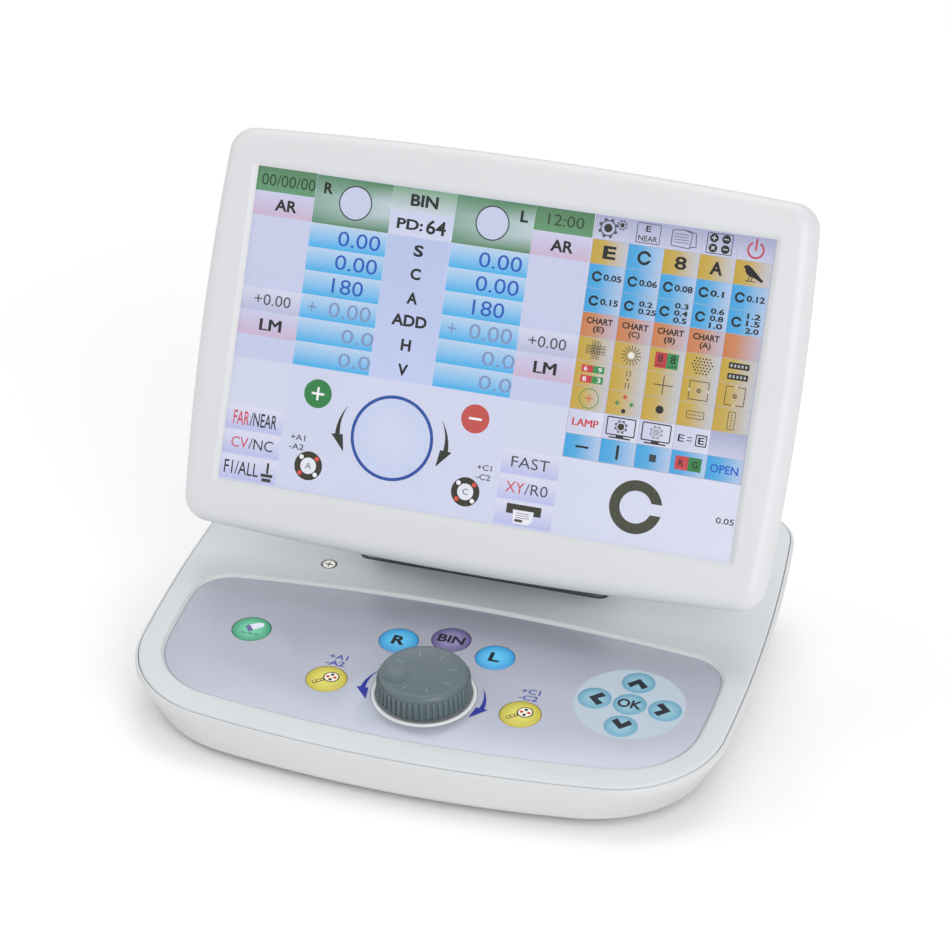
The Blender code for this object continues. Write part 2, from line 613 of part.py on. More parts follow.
def make_fasteners():
    screw("cover_screw", panel, (*COVER_SCREW_AT, COVER_TOP - GAP / 2), 8.5 * MM)
    upward = (math.pi, 0, 0)
    for place, (x, y) in BASE_SCREWS.items():
        screw(f"base_screw_{place}", floor, (x, y, FOOT_HEIGHT - 0.3 * MM), 9.0 * MM, upward)
    for place, (x, y) in FEET.items():
        top = FOOT_HEIGHT - GAP
        profile = [(0.0, top), (FOOT_RADIUS, top), (FOOT_RADIUS, 0.7 * MM),
                   (FOOT_RADIUS - 0.7 * MM, 0.0), (0.0, 0.0)]
        turned(f"foot_{place}", profile, RUBBER, floor, (x, y, 0), sides=20)
    for place, (x, y) in CASE_SCREWS.items():
        screw(f"case_screw_{place}", screen, (x, y, CASE_SCREW_TOP), 12.0 * MM, upward)
    for place, (x, y) in NECK_SCREWS.items():
        screw(f"neck_screw_{place}", screen, (x, y, -31.7 * MM), 10.0 * MM, upward)


# ---------------------------------------------------------------- boards and connectors
def make_electronics():
    bottom = FOOT_HEIGHT + WALL + 4.0 * MM + GAP
    top = bottom + 1.6 * MM
    board = add("main_board", box("main_board", (-78 * MM, 78 * MM), (80 * MM, 146 * MM),
                                  (bottom, top)), BOARD_GREEN, floor)
    for x, y, wide, deep, high in ((-30, 100, 18, 18, 2.2), (20, 95, 12, 12, 1.8),
                                   (50, 118, 14, 9, 6.0), (-58, 112, 8, 16, 5.0)):
        part = box("part", ((x - wide / 2) * MM, (x + wide / 2) * MM),
                   ((y - deep / 2) * MM, (y + deep / 2) * MM), (top - 0.5 * MM, top + high * MM))
        join(board, tool(part, floor))
    lean = (PLATE_LEAN, 0, 0)
    niche = axis_empty("connector_plane", (0, PLATE_BACK, PLATE_HEIGHT), lean, floor)
    plate = add("connector_panel", box("connector_panel", (-PLATE_HALF[0], PLATE_HALF[0]),
                                       (-0.6 * MM, 0.6 * MM), (-PLATE_HALF[1], PLATE_HALF[1])),
                STEEL, niche)
    turn = (-math.pi / 2, 0, 0)
    cut(plate, tool(rod("power_hole", 5.0 * MM, -9 * MM, 9 * MM, (0, 0), 20), niche,
                    (POWER_SOCKET_X, 0, 0), turn))
    socket = [(0.0, 1.8 * MM), (1.0 * MM, 1.4 * MM), (1.0 * MM, -7.0 * MM),
              (2.9 * MM, -7.0 * MM), (2.9 * MM, 3.0 * MM), (4.6 * MM, 3.0 * MM),
              (4.6 * MM, -9.0 * MM), (0.0, -9.0 * MM)]
    turned("power_socket", socket, BLACK, niche, (POWER_SOCKET_X, 0, 0), turn, sides=20)
    for name, x, half in (("head_socket", HEAD_SOCKET_X, 11.5 * MM),
                          ("data_socket", DATA_SOCKET_X, 8.2 * MM)):
        hole = box("hole", (x - half - GAP, x + half + GAP), (-9 * MM, 9 * MM),
                   (-4.6 * MM, 4.6 * MM))
        cut(plate, tool(hole, niche))
        shell = box(name, (x - half, x + half), (-9 * MM, 4.5 * MM), (-4.3 * MM, 4.3 * MM),
                    0.6 * MM)
        add(name, shell, STEEL, niche)


# ---------------------------------------------------------------- hinge
def make_hinge():
    plate_points = rounded_box_points(SLOT["half"] - GAP, SLOT["front"] + GAP, SLOT["rear"] - GAP,
                                      SLOT["corner"] - GAP)
    base = add("hinge_base", slab("hinge_base", plate_points, -2.2 * MM, 0.6 * MM), SLATE, panel)
    flange = slab("flange", rounded_box_points(57 * MM, 77 * MM, 125 * MM, 6 * MM),
                  -4.2 * MM, COVER_REAR_UNDERSIDE - GAP)
    join(base, tool(flange, panel))
    for side in (-1, 1):
        profile = [(AXIS_V + KNUCKLE_RADIUS + 3 * MM, -1.5 * MM),
                   (AXIS_V + KNUCKLE_RADIUS + 3 * MM, 1.5 * MM),
                   (AXIS_V + KNUCKLE_RADIUS, 7 * MM)]
        for i in range(13):
            turn = math.pi * i / 12
            profile.append((AXIS_V + KNUCKLE_RADIUS * math.cos(turn),
                            AXIS_N + KNUCKLE_RADIUS * math.sin(turn)))
        profile += [(AXIS_V - KNUCKLE_RADIUS, 7 * MM),
                    (AXIS_V - KNUCKLE_RADIUS - 3 * MM, 1.5 * MM),
                    (AXIS_V - KNUCKLE_RADIUS - 3 * MM, -1.5 * MM)]
        low, high = sorted((side * TOWER_INNER, side * TOWER_OUTER))
        join(base, tool(prism("tower", profile, low, high), panel))
        low, high = sorted((side * (TOWER_OUTER - 9 * MM), side * (TOWER_OUTER + 5 * MM)))
        well = rod("well", 7.4 * MM, low, high, (AXIS_V, AXIS_N), 24, "X")
        cut(base, tool(well, panel))
    bore = rod("bore", SHAFT_RADIUS + GAP, -60 * MM, 60 * MM, (AXIS_V, AXIS_N), 24, "X")
    cut(base, tool(bore, panel))

    arm = []
    for i in range(13):
        turn = math.pi + math.pi * i / 12
        arm.append((AXIS_Y + KNUCKLE_RADIUS * math.cos(turn),
                    AXIS_Z + KNUCKLE_RADIUS * math.sin(turn)))
    flange_back = BACK - GAP - 3 * MM
    arm += [(AXIS_Y + KNUCKLE_RADIUS, flange_back + 1 * MM),
            (AXIS_Y - KNUCKLE_RADIUS, flange_back + 1 * MM)]
    neck = add("screen_neck", prism("screen_neck", arm, -NECK_HALF, NECK_HALF), SLATE, screen)
    pad = slab("pad", rounded_box_points(26.5 * MM, -8.6 * MM, 33 * MM, 5 * MM), flange_back,
               BACK - GAP)
    join(neck, tool(pad, screen))
    through = rod("through", SHAFT_RADIUS + GAP, -40 * MM, 40 * MM, (AXIS_Y, AXIS_Z), 24, "X")
    cut(neck, tool(through, screen))
    for x, y in NECK_SCREWS.values():
        cut(neck, tool(rod("hole", SHANK_HOLE, -40 * MM, -10 * MM, (x, y), 12), screen))

    shaft = rod("tilt_shaft", SHAFT_RADIUS, -49.5 * MM, 49.5 * MM, (AXIS_Y, AXIS_Z), 24, "X")
    add("tilt_shaft", shaft, STEEL, screen)
    for side, word in ((-1, "left"), (1, "right")):
        for name, radius, sides, near, far in (("friction_washer", 6.8 * MM, 24, 41.3, 43.9),
                                               ("shaft_nut", 7.0 * MM, 6, 44.2, 48.4)):
            low, high = sorted((side * near * MM, side * far * MM))
            disc = rod(name, radius, low, high, (AXIS_Y, AXIS_Z), sides, "X")
            piece = add(f"{name}_{word}", disc, STEEL, screen)
            hole = rod("hole", SHAFT_RADIUS + GAP, low - 2 * MM, high + 2 * MM,
                       (AXIS_Y, AXIS_Z), 20, "X")
            cut(piece, tool(hole, screen))


# ---------------------------------------------------------------- screen
def make_screen():
    half = PICTURE[0] / 2
    high = PICTURE[1]
    window = rectangle(half, 0.0, high, 0.4 * MM)
    pocket = rectangle(half + GLASS_MARGIN + GAP, -GLASS_MARGIN - GAP, high + GLASS_MARGIN + GAP,
                       1.0 * MM)
    lip = 0.3 * MM
    small = 0.3 * MM
    rings = [
        ring_at(outline(window, -0.3 * MM, small), lip),
        ring_at(outline(window, -0.3 * MM, small), lip + 0.25 * MM),
        ring_at(outline(window, -2.5 * MM, small), BEZEL_FRONT),
        ring_at(outline(SCREEN, 6.6 * MM), BEZEL_FRONT),
        ring_at(outline(SCREEN, 4.0 * MM), 1.3 * MM),
        ring_at(outline(SCREEN, 1.8 * MM), -0.2 * MM),
        ring_at(outline(SCREEN, 0.5 * MM), -2.8 * MM),
        ring_at(outline(SCREEN, 0.0), PARTING + 1.2 * MM),
        ring_at(outline(SCREEN, 0.0), PARTING),
        ring_at(outline(SCREEN, 2.4 * MM), PARTING),
        ring_at(outline(SCREEN, 2.8 * MM), -3.4 * MM),
        ring_at(outline(SCREEN, 5.2 * MM), -1.0 * MM),
        ring_at(outline(pocket, 0.0, small), -1.0 * MM),
        ring_at(outline(pocket, 0.0, small), lip),
    ]
    bezel = add("screen_bezel", loft("screen_bezel", rings, closed=True), WHITE, screen)
    for x, y in CASE_SCREWS.values():
        join(bezel, tool(rod("boss", 2.8 * MM, -12.5 * MM, -0.5 * MM, (x, y), 16), screen))
        cut(bezel, tool(rod("bore", SHANK_HOLE, -30 * MM, -5.5 * MM, (x, y), 12), screen))

    glass = rectangle(half + GLASS_MARGIN, -GLASS_MARGIN, high + GLASS_MARGIN, 1.0 * MM)
    pane = rounded_box_points(glass["half"], glass["front"], glass["rear"], 1.0 * MM, 2)
    add("touch_glass", slab("touch_glass", pane, -GLASS_THICKNESS, 0.0), GLASS, screen)
    back_of_glass = -GLASS_THICKNESS - GAP
    cell = rounded_box_points(half + 5 * MM, -5 * MM, high + 5 * MM, 1.0 * MM, 2)
    add("lcd_panel", slab("lcd_panel", cell, back_of_glass - 5.4 * MM, back_of_glass), LCD, screen)

    spacer_top = back_of_glass - 5.4 * MM - GAP
    board_top = spacer_top - 3.0 * MM
    board = add("display_board", box("display_board", (-62 * MM, 62 * MM), (38 * MM, 104 * MM),
                                     (board_top - 1.6 * MM, board_top)), BOARD_GREEN, screen)
    for x in (-56, 56):
        for y in (44, 98):
            spacer = rod("spacer", 2.6 * MM, board_top - 0.8 * MM, spacer_top, (x * MM, y * MM), 12)
            join(board, tool(spacer, screen))
    chip = box("chip", (-10 * MM, 10 * MM), (62 * MM, 82 * MM),
               (board_top - 4.0 * MM, board_top - 1.2 * MM))
    join(board, tool(chip, screen))

    rings = [
        ring_at(outline(SCREEN, 15.5 * MM, 5 * MM), BACK + WALL),
        ring_at(outline(SCREEN, 11.5 * MM, 5 * MM), BACK + 3.6 * MM),
        ring_at(outline(SCREEN, 7.6 * MM, 4 * MM), BACK + 6.4 * MM),
        ring_at(outline(SCREEN, 4.7 * MM), -15.6 * MM),
        ring_at(outline(SCREEN, 2.9 * MM), -11.4 * MM),
        ring_at(outline(SCREEN, 2.4 * MM), PARTING - GAP),
        ring_at(outline(SCREEN, 0.0), PARTING - GAP),
        ring_at(outline(SCREEN, 0.4 * MM), -12.0 * MM),
        ring_at(outline(SCREEN, 2.2 * MM), -17.0 * MM),
        ring_at(outline(SCREEN, 5.2 * MM), -21.3 * MM),
        ring_at(outline(SCREEN, 9.6 * MM, 4 * MM), -24.5 * MM),
        ring_at(outline(SCREEN, 15.5 * MM, 5 * MM), BACK),
    ]
    rear = add("screen_rear_cover", loft("screen_rear_cover", rings), WHITE, screen)
    boss_r = SCREW_HEAD + 1.4 * MM
    seat = CASE_SCREW_TOP + 1.8 * MM
    for x, y in CASE_SCREWS.values():
        inward = math.copysign(1.0, -y)
        low, high = sorted((y + inward * 0.41 * MM, y + inward * 5.13 * MM))
        web = box("web", (x - boss_r + 0.45 * MM, x + boss_r - 0.45 * MM), (low, high),
                  (-22.87 * MM, -13.63 * MM))
        join(rear, tool(web, screen))
        join(rear, tool(rod("boss", boss_r, seat - 0.3 * MM, -13 * MM, (x, y), 16), screen))
        cut(rear, tool(rod("pocket", SCREW_HEAD + 0.5 * MM, -40 * MM, seat, (x, y), 16), screen))
        cut(rear, tool(rod("hole", SHANK_HOLE, -40 * MM, -10 * MM, (x, y), 12), screen))
    for x, y in NECK_SCREWS.values():
        cut(rear, tool(rod("hole", SHANK_HOLE, -40 * MM, -10 * MM, (x, y), 12), screen))
    for i in range(VENTS):
        x = (i - (VENTS - 1) / 2) * VENT_PITCH
        vent = slab("vent", rounded_box_points(1.3 * MM, 100 * MM, 118 * MM, 1.0 * MM, 1),
                    -40 * MM, -18 * MM)
        cut(rear, tool(vent, screen, (x, 0, 0)))


make_bottom_housing()
make_top_cover()
make_keypad()
make_encoder()
make_dial()
make_keys()
make_fasteners()
make_electronics()
make_hinge()
make_screen()
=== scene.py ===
"""Refraction console: the operator's desk unit of a digital phoropter, dressed for a studio picture.

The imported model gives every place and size. Each section below makes one piece, or one group of like
pieces, in the order in which the console is put together.
"""

import math

import bmesh
import bpy
from mathutils import Matrix, Vector


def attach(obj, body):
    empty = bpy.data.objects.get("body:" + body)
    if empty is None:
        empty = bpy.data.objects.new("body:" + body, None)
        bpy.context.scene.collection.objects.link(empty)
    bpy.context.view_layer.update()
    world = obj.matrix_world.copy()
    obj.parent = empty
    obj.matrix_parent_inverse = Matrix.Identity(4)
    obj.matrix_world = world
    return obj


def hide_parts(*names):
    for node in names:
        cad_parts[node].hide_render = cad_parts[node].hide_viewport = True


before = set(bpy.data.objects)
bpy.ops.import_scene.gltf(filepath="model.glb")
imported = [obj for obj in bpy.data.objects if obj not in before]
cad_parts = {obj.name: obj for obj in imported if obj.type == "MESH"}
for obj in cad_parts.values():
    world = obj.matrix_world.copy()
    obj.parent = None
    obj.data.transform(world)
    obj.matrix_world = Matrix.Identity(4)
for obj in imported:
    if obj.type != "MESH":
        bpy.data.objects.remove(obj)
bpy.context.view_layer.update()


# ---------------------------------------------------------------- lower housing
# A one-piece white moulding, open at the top: floor, leaning walls and a rim that the cover drops
# into. It has screw recesses underneath and a window for the sockets in its rear wall.
MM = 0.001
PANEL = (Matrix.Translation((0, -59.65 * MM, 23.35 * MM)) @ Matrix.Rotation(math.radians(7.0), 4, "X"))
TABLE = Matrix.Translation((0, -59.65 * MM, 0))
FLOOR_EDGE = dict(half=116.5, side_r=700, side_at=58, front=-44.4, front_r=437, front_corner=51,
                  rear=157, rear_r=3000, rear_corner=27)
SEAM = dict(half=123.4, side_r=780, side_at=55, front=-43.9, front_r=560, front_corner=46,
            rear=163.5, rear_r=3000, rear_corner=20)
FLOOR_HEIGHT = 2.6
HOUSING_WALL = 2.5
CREASE = 32


def arc(centre, start, end, steps):
    """Points after start, up to and with end, anticlockwise round a centre."""
    radius = math.dist(centre, start)
    first = math.atan2(start[1] - centre[1], start[0] - centre[0])
    last = math.atan2(end[1] - centre[1], end[0] - centre[0])
    if last < first:
        last += 2 * math.pi
    turns = [first + (last - first) * (i + 1) / steps for i in range(steps)]
    return [(centre[0] + radius * math.cos(t), centre[1] + radius * math.sin(t)) for t in turns]


def crossing(centre_a, radius_a, centre_b, radius_b):
    """The centre of a corner that touches two crowned edges from inside."""
    dx, dy = centre_b[0] - centre_a[0], centre_b[1] - centre_a[1]
    apart = math.hypot(dx, dy)
    along = (apart ** 2 + radius_a ** 2 - radius_b ** 2) / (2 * apart)
    aside = math.sqrt(max(0.0, radius_a ** 2 - along ** 2))
    return (centre_a[0] + (along * dx - aside * dy) / apart,
            centre_a[1] + (along * dy + aside * dx) / apart)


def toward(centre, radius, point):
    """The spot on a circle in a point's direction."""
    scale = radius / math.dist(centre, point)
    return (centre[0] + (point[0] - centre[0]) * scale, centre[1] + (point[1] - centre[1]) * scale)


def crowned(edge, inset=0.0, least_corner=3.0):
    """Four crowned edges with round corners, in millimetres, anticlockwise from the front's middle."""
    front_at = (0.0, edge["front"] + edge["front_r"])
    side_at = (edge["half"] - edge["side_r"], edge["side_at"])
    rear_at = (0.0, edge["rear"] - edge["rear_r"])
    front_r, side_r, rear_r = (edge[key] - inset for key in ("front_r", "side_r", "rear_r"))
    corner_a = max(edge["front_corner"] - inset, least_corner)
    corner_b = max(edge["rear_corner"] - inset, least_corner)
    at_a = crossing(front_at, front_r - corner_a, side_at, side_r - corner_a)
    at_b = crossing(side_at, side_r - corner_b, rear_at, rear_r - corner_b)
    half = [(0.0, front_at[1] - front_r)]
    half += arc(front_at, half[0], toward(front_at, front_r, at_a), 14)
    half += arc(at_a, half[-1], toward(side_at, side_r, at_a), 20)
    half += arc(side_at, half[-1], toward(side_at, side_r, at_b), 16)
    half += arc(at_b, half[-1], toward(rear_at, rear_r, at_b), 16)
    half += arc(rear_at, half[-1], (0.0, rear_at[1] + rear_r), 12)
    return half + [(-x, y) for x, y in reversed(half[1:-1])]


def ring(place, points, height):
    """An outline in millimetres, set at a height above the place, in metres."""
    return [place @ (Vector((x, y, height)) * MM) for x, y in points]


def fillet(place, edge, start, end, steps=6):
    """Rings along a quarter of an ellipse, from one inset and height to another. The surface leaves
    the start upright and arrives flat."""
    rings = []
    for i in range(steps + 1):
        turn = math.pi / 2 * i / steps
        inset = start[0] + (end[0] - start[0]) * (1 - math.cos(turn))
        rings.append(ring(place, crowned(edge, inset), start[1] + (end[1] - start[1]) * math.sin(turn)))
    return rings


def between(low, high, steps):
    """Rings spread evenly between two rings, both left out."""
    return [[a.lerp(b, i / steps) for a, b in zip(low, high)] for i in range(1, steps)]


def shell(name, rings, closed=False):
    """Joins equal rings into one skin; the ends are capped, or joined to each other."""
    build = bmesh.new()
    loops = [[build.verts.new(point) for point in points] for points in rings]
    pairs = list(zip(loops, loops[1:])) + ([(loops[-1], loops[0])] if closed else [])
    for lower, upper in pairs:
        for i in range(len(lower)):
            after = (i + 1) % len(lower)
            build.faces.new((lower[i], lower[after], upper[after], upper[i]))
    if not closed:
        build.faces.new(list(reversed(loops[0])))
        build.faces.new(loops[-1])
    bmesh.ops.recalc_face_normals(build, faces=build.faces)
    return made(name, build)


def made(name, build, crease=CREASE):
    """Turns finished mesh work into an object with soft shading and sharp corners."""
    mesh = bpy.data.meshes.new(name)
    build.to_mesh(mesh)
    build.free()
    mesh.shade_smooth()
    mesh.set_sharp_from_angle(angle=math.radians(crease))
    piece = bpy.data.objects.new(name, mesh)
    bpy.context.scene.collection.objects.link(piece)
    return piece


def bar(place, radius, low, high, at=(0.0, 0.0), sides=48):
    """A round bar along the place's Z."""
    build = bmesh.new()
    move = place @ Matrix.Translation(Vector((at[0], at[1], (low + high) / 2)) * MM)
    bmesh.ops.create_cone(build, cap_ends=True, segments=sides, radius1=radius * MM,
                          radius2=radius * MM, depth=(high - low) * MM, matrix=move)
    return made("bar", build)


def block(place, x, y, z, soften=0.0, name="block"):
    """A block between two limits on each axis, in millimetres, with softened edges."""
    build = bmesh.new()
    size = Vector((x[1] - x[0], y[1] - y[0], z[1] - z[0])) * MM
    middle = Vector((x[0] + x[1], y[0] + y[1], z[0] + z[1])) * (MM / 2)
    bmesh.ops.create_cube(build, size=1.0, matrix=place @ Matrix.Translation(middle)
                          @ Matrix.Diagonal((*size, 1.0)))
    if soften:
        bmesh.ops.bevel(build, geom=build.edges, offset=soften * MM, segments=3, profile=0.5,
                        affect="EDGES")
    return made(name, build)


def worked(piece, cuts=(), joins=()):
    """Cuts holes and joins lumps, then keeps the plain mesh."""
    for helper in (*joins, *cuts):
        step = piece.modifiers.new("step", "BOOLEAN")
        step.operation = "UNION" if helper in joins else "DIFFERENCE"
        step.solver = "EXACT"
        step.object = helper
    settle(piece)
    for helper in (*joins, *cuts):
        bpy.data.objects.remove(helper)
    piece.data.shade_smooth()
    piece.data.set_sharp_from_angle(angle=math.radians(CREASE))
    return piece


def settle(piece):
    """Swaps a piece's modifiers for the plain mesh that they give."""
    bpy.context.view_layer.update()
    result = bpy.data.meshes.new_from_object(piece.evaluated_get(bpy.context.evaluated_depsgraph_get()))
    piece.modifiers.clear()
    piece.data = result


class Signal:
    """A node's output, used like a number in sums."""

    def __init__(self, tree, socket):
        self.tree, self.socket = tree, socket

    def maths(self, operation, first, second, clamp=False):
        """A sum of two numbers or signals, worked out by a node."""
        node = self.tree.nodes.new("ShaderNodeMath")
        node.operation, node.use_clamp = operation, clamp
        for slot, value in zip(node.inputs, (first, second)):
            if isinstance(value, Signal):
                self.tree.links.new(value.socket, slot)
            else:
                slot.default_value = value
        return Signal(self.tree, node.outputs[0])

    def __add__(self, other):
        return self.maths("ADD", self, other)

    def __radd__(self, other):
        return self.maths("ADD", other, self)

    def __sub__(self, other):
        return self.maths("SUBTRACT", self, other)

    def __mul__(self, other):
        return self.maths("MULTIPLY", self, other)

    def __rmul__(self, other):
        return self.maths("MULTIPLY", other, self)

    def __truediv__(self, other):
        return self.maths("DIVIDE", self, other)

    def __pow__(self, other):
        return self.maths("POWER", self, other)

    def above(self, level, soft):
        """0 up to a level, then rising to 1 over a soft step."""
        return self.maths("DIVIDE", self - level, soft, True)


def linear(red, green, blue):
    """A colour as painters' charts give it, from 0 to 255, in the light that it reflects."""
    return tuple((c / 255 / 12.92) if c <= 10 else ((c / 255 + 0.055) / 1.055) ** 2.4
                 for c in (red, green, blue))


class Finish:
    """A surface finish: fixed values on the shader, and whatever varies fed by nodes."""

    def __init__(self, name, **fixed):
        self.material = bpy.data.materials.new(name)
        self.material.use_nodes = True
        self.tree = self.material.node_tree
        self.shader = self.tree.nodes["Principled BSDF"]
        for key, value in fixed.items():
            self.feed(self.shader.inputs[key.replace("_", " ")], value)

    def feed(self, slot, value):
        """Gives an input its value, or links it to a signal."""
        if isinstance(value, Signal):
            self.tree.links.new(value.socket, slot)
        elif isinstance(value, tuple) and len(value) == 3 and slot.type == "RGBA":
            slot.default_value = (*value, 1.0)
        else:
            slot.default_value = value

    def node(self, kind, values=(), output=0, **settings):
        """A new shader node with its inputs fed, as the signal of one of its outputs."""
        node = self.tree.nodes.new("ShaderNode" + kind)
        for key, value in settings.items():
            setattr(node, key, value)
        for key, value in dict(values).items():
            self.feed(node.inputs[key], value)
        return Signal(self.tree, node.outputs[output])

    def place(self):
        return self.node("TexCoord", output="Object")

    def speckle(self, size_mm, detail=2.0, stretch=(1, 1, 1)):
        """Noise from 0 to 1 with lumps of about the given size."""
        vector = self.node("Mapping", {"Vector": self.place(), "Scale": stretch})
        return self.node("TexNoise", {"Vector": vector, "Scale": 1000.0 / size_mm, "Detail": detail})

    def blend(self, factor, first, second):
        """A colour that passes from the first to the second as the factor rises from 0 to 1."""
        return self.node("Mix", {0: factor, 6: first, 7: second}, 2, data_type="RGBA")

    def rough(self, height, depth_mm):
        """Turns a height into a bump on the surface."""
        normal = self.node("Bump", {"Height": height, "Distance": depth_mm * MM, "Strength": 1.0})
        self.feed(self.shader.inputs["Normal"], normal)

    def set(self, key, value):
        self.feed(self.shader.inputs[key], value)

    def on(self, *pieces):
        """Puts the finish on pieces in place of what they had."""
        for piece in pieces:
            piece.data.materials.clear()
            piece.data.materials.append(self.material)


def satin_moulding(name, colour, shade=0.955, roughness=0.42, grain_mm=0.35, depth_mm=0.012):
    """Moulded plastic: fine spark-eroded grain, with slow drifts of tone and gloss."""
    finish = Finish(name)
    grain = finish.speckle(grain_mm, 3.0)
    drift = finish.speckle(60.0, 2.0)
    deeper = tuple(c * shade for c in colour)
    finish.set("Base Color", finish.blend(drift, colour, deeper))
    finish.set("Roughness", roughness + 0.10 * (grain - 0.5) + 0.06 * (drift - 0.5))
    finish.rough(grain, depth_mm)
    return finish


floor_low = fillet(TABLE, FLOOR_EDGE, (0.0, FLOOR_HEIGHT + 2.6), (3.0, FLOOR_HEIGHT))
rim = fillet(PANEL, SEAM, (-1.5, -2.2), (-0.45, 0.28), 7)
LEDGE = -3.8
housing_rings = (list(reversed(floor_low)) + between(floor_low[0], rim[0], 8) + rim
                 + [ring(PANEL, crowned(SEAM, -0.15), 0.28), ring(PANEL, crowned(SEAM, -0.15), LEDGE),
                    ring(PANEL, crowned(SEAM, 1.8), LEDGE),
                    ring(TABLE, crowned(FLOOR_EDGE, 2.9), FLOOR_HEIGHT + HOUSING_WALL + 2.4),
                    ring(TABLE, crowned(FLOOR_EDGE, 5.2), FLOOR_HEIGHT + HOUSING_WALL)])
lower_housing = shell("lower_housing", housing_rings)
BASE_SCREWS = ((-94, -13), (94, -13), (-98, 138), (98, 138))
SHANK_HOLE = 1.9
housing_cuts = [block(TABLE, (-38, 38), (140, 180), (14, 30))]
for x, y in BASE_SCREWS:
    housing_cuts.append(bar(TABLE, 3.6, -5, FLOOR_HEIGHT + 1.5, (x, y)))
    housing_cuts.append(bar(TABLE, SHANK_HOLE, -5, 12, (x, y)))
COVER_SCREW = (-64.6, 71.9)
posts = [bar(TABLE, 3.2, 4.1, 9.1, (x, y)) for y in (88, 138) for x in (-70, 70)]
posts.append(bar(TABLE, 4.0, 4.1, 29.2, COVER_SCREW))
housing_cuts.append(bar(PANEL, SHANK_HOLE, -8.5, 5, COVER_SCREW))
worked(lower_housing, housing_cuts, posts)
satin_moulding("white_housing", linear(208, 209, 210)).on(lower_housing)
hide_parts("bottom_housing")
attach(lower_housing, "base")


# ---------------------------------------------------------------- rubber feet
# Four black rubber discs, pressed and glued to the floor. Their edges are rounded by the mould and
# the face that meets the table has a fine grip pattern of rings.
FEET = {"front_left": (-76, -21), "front_right": (76, -21), "rear_left": (-84, 138),
        "rear_right": (84, 138)}


def turned(name, place, profile, at=(0.0, 0.0), sides=64):
    """A turned piece: radius and height pairs, from the top of its axis to the bottom, in millimetres."""
    build = bmesh.new()
    loops = []
    for radius, height in profile:
        turns = [2 * math.pi * i / sides for i in range(1 if radius == 0 else sides)]
        points = [(at[0] + radius * math.cos(t), at[1] + radius * math.sin(t)) for t in turns]
        loops.append([build.verts.new(point) for point in ring(place, points, height)])
    pairs = list(zip(loops, loops[1:]))
    if profile[0][0] > 0:
        pairs.append((loops[-1], loops[0]))
    for upper, lower in pairs:
        for i in range(sides):
            after = (i + 1) % sides
            corners = [lower[i % len(lower)], lower[after % len(lower)],
                       upper[after % len(upper)], upper[i % len(upper)]]
            build.faces.new(list(dict.fromkeys(corners)))
    bmesh.ops.recalc_face_normals(build, faces=build.faces)
    return made(name, build)


rubber = Finish("foot_rubber", Specular_IOR_Level=0.35)
bloom = rubber.speckle(1.6, 4.0)
rubber.set("Base Color", rubber.blend(bloom, linear(30, 30, 31), linear(48, 47, 46)))
rubber.set("Roughness", 0.72 + 0.2 * (bloom - 0.5))
rubber.rough(rubber.speckle(0.3, 3.0), 0.03)
for corner, at in FEET.items():
    foot = turned(f"rubber_foot_{corner}", TABLE,
                  [(0, 2.3), (7.5, 2.3), (7.5, 0.75), (7.35, 0.35), (7.05, 0.08), (6.7, 0.0), (5.6, 0.0),
                   (5.3, 0.3), (4.6, 0.3), (4.3, 0.0), (3.0, 0.0), (2.7, 0.3), (1.9, 0.3), (1.6, 0.0),
                   (0, 0.0)], at)
    rubber.on(foot)
    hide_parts(f"foot_{corner}")
    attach(foot, "base")


# ---------------------------------------------------------------- top cover
# A cool light-grey moulding that closes the housing. It is dished for the keypad film, has a slot
# for the hinge and a deep counterbore for its screw, and meets the rim in a hairline seam.
FILM_EDGE = dict(half=112.5, side_r=330, side_at=34, front=-30.6, front_r=570, front_corner=32,
                 rear=59.3, rear_r=800, rear_corner=16)
COVER_TOP = 1.2
SKIRT = -3.5
KEYS = {
    "right_eye": (-20.5, 30.7, 8.05), "both_eyes": (0.0, 37.2, 8.05), "left_eye": (20.5, 30.7, 8.05),
    "cross_cylinder_left": (-40.5, -1.8, 8.3), "cross_cylinder_right": (40.5, -1.8, 8.3),
    "erase": (-80.85, 21.1, 8.05), "ok": (80.45, 16.5, 7.0), "up": (80.45, 30.9, 7.0),
    "down": (80.45, 2.1, 7.0), "back": (66.05, 16.5, 7.0), "forward": (94.85, 16.5, 7.0),
}
cover_rings = [ring(PANEL, crowned(SEAM, 3.2), -2.8), ring(PANEL, crowned(SEAM, 2.4), SKIRT),
               ring(PANEL, crowned(SEAM, 0.15), SKIRT)] + fillet(PANEL, SEAM, (0.15, 0.3), (1.3, COVER_TOP))
top_cover = shell("cover_moulding", cover_rings)
recess = [ring(PANEL, crowned(FILM_EDGE, -0.15), -1.1), ring(PANEL, crowned(FILM_EDGE, -0.15), -0.05),
          ring(PANEL, crowned(FILM_EDGE, -1.15), 0.85)]
recess += fillet(PANEL, FILM_EDGE, (-1.15, 0.85), (-2.0, COVER_TOP), 4)[1:]
recess.append(ring(PANEL, crowned(FILM_EDGE, -2.0), 5.0))


def round_box(half, low, high, corner, steps=10):
    """A rectangle with round corners, anticlockwise."""
    points = []
    for x, y, start in ((half - corner, high - corner, 0), (-half + corner, high - corner, 90),
                        (-half + corner, low + corner, 180), (half - corner, low + corner, 270)):
        for i in range(steps + 1):
            turn = math.radians(start + 90 * i / steps)
            points.append((x + corner * math.cos(turn), y + corner * math.sin(turn)))
    return points


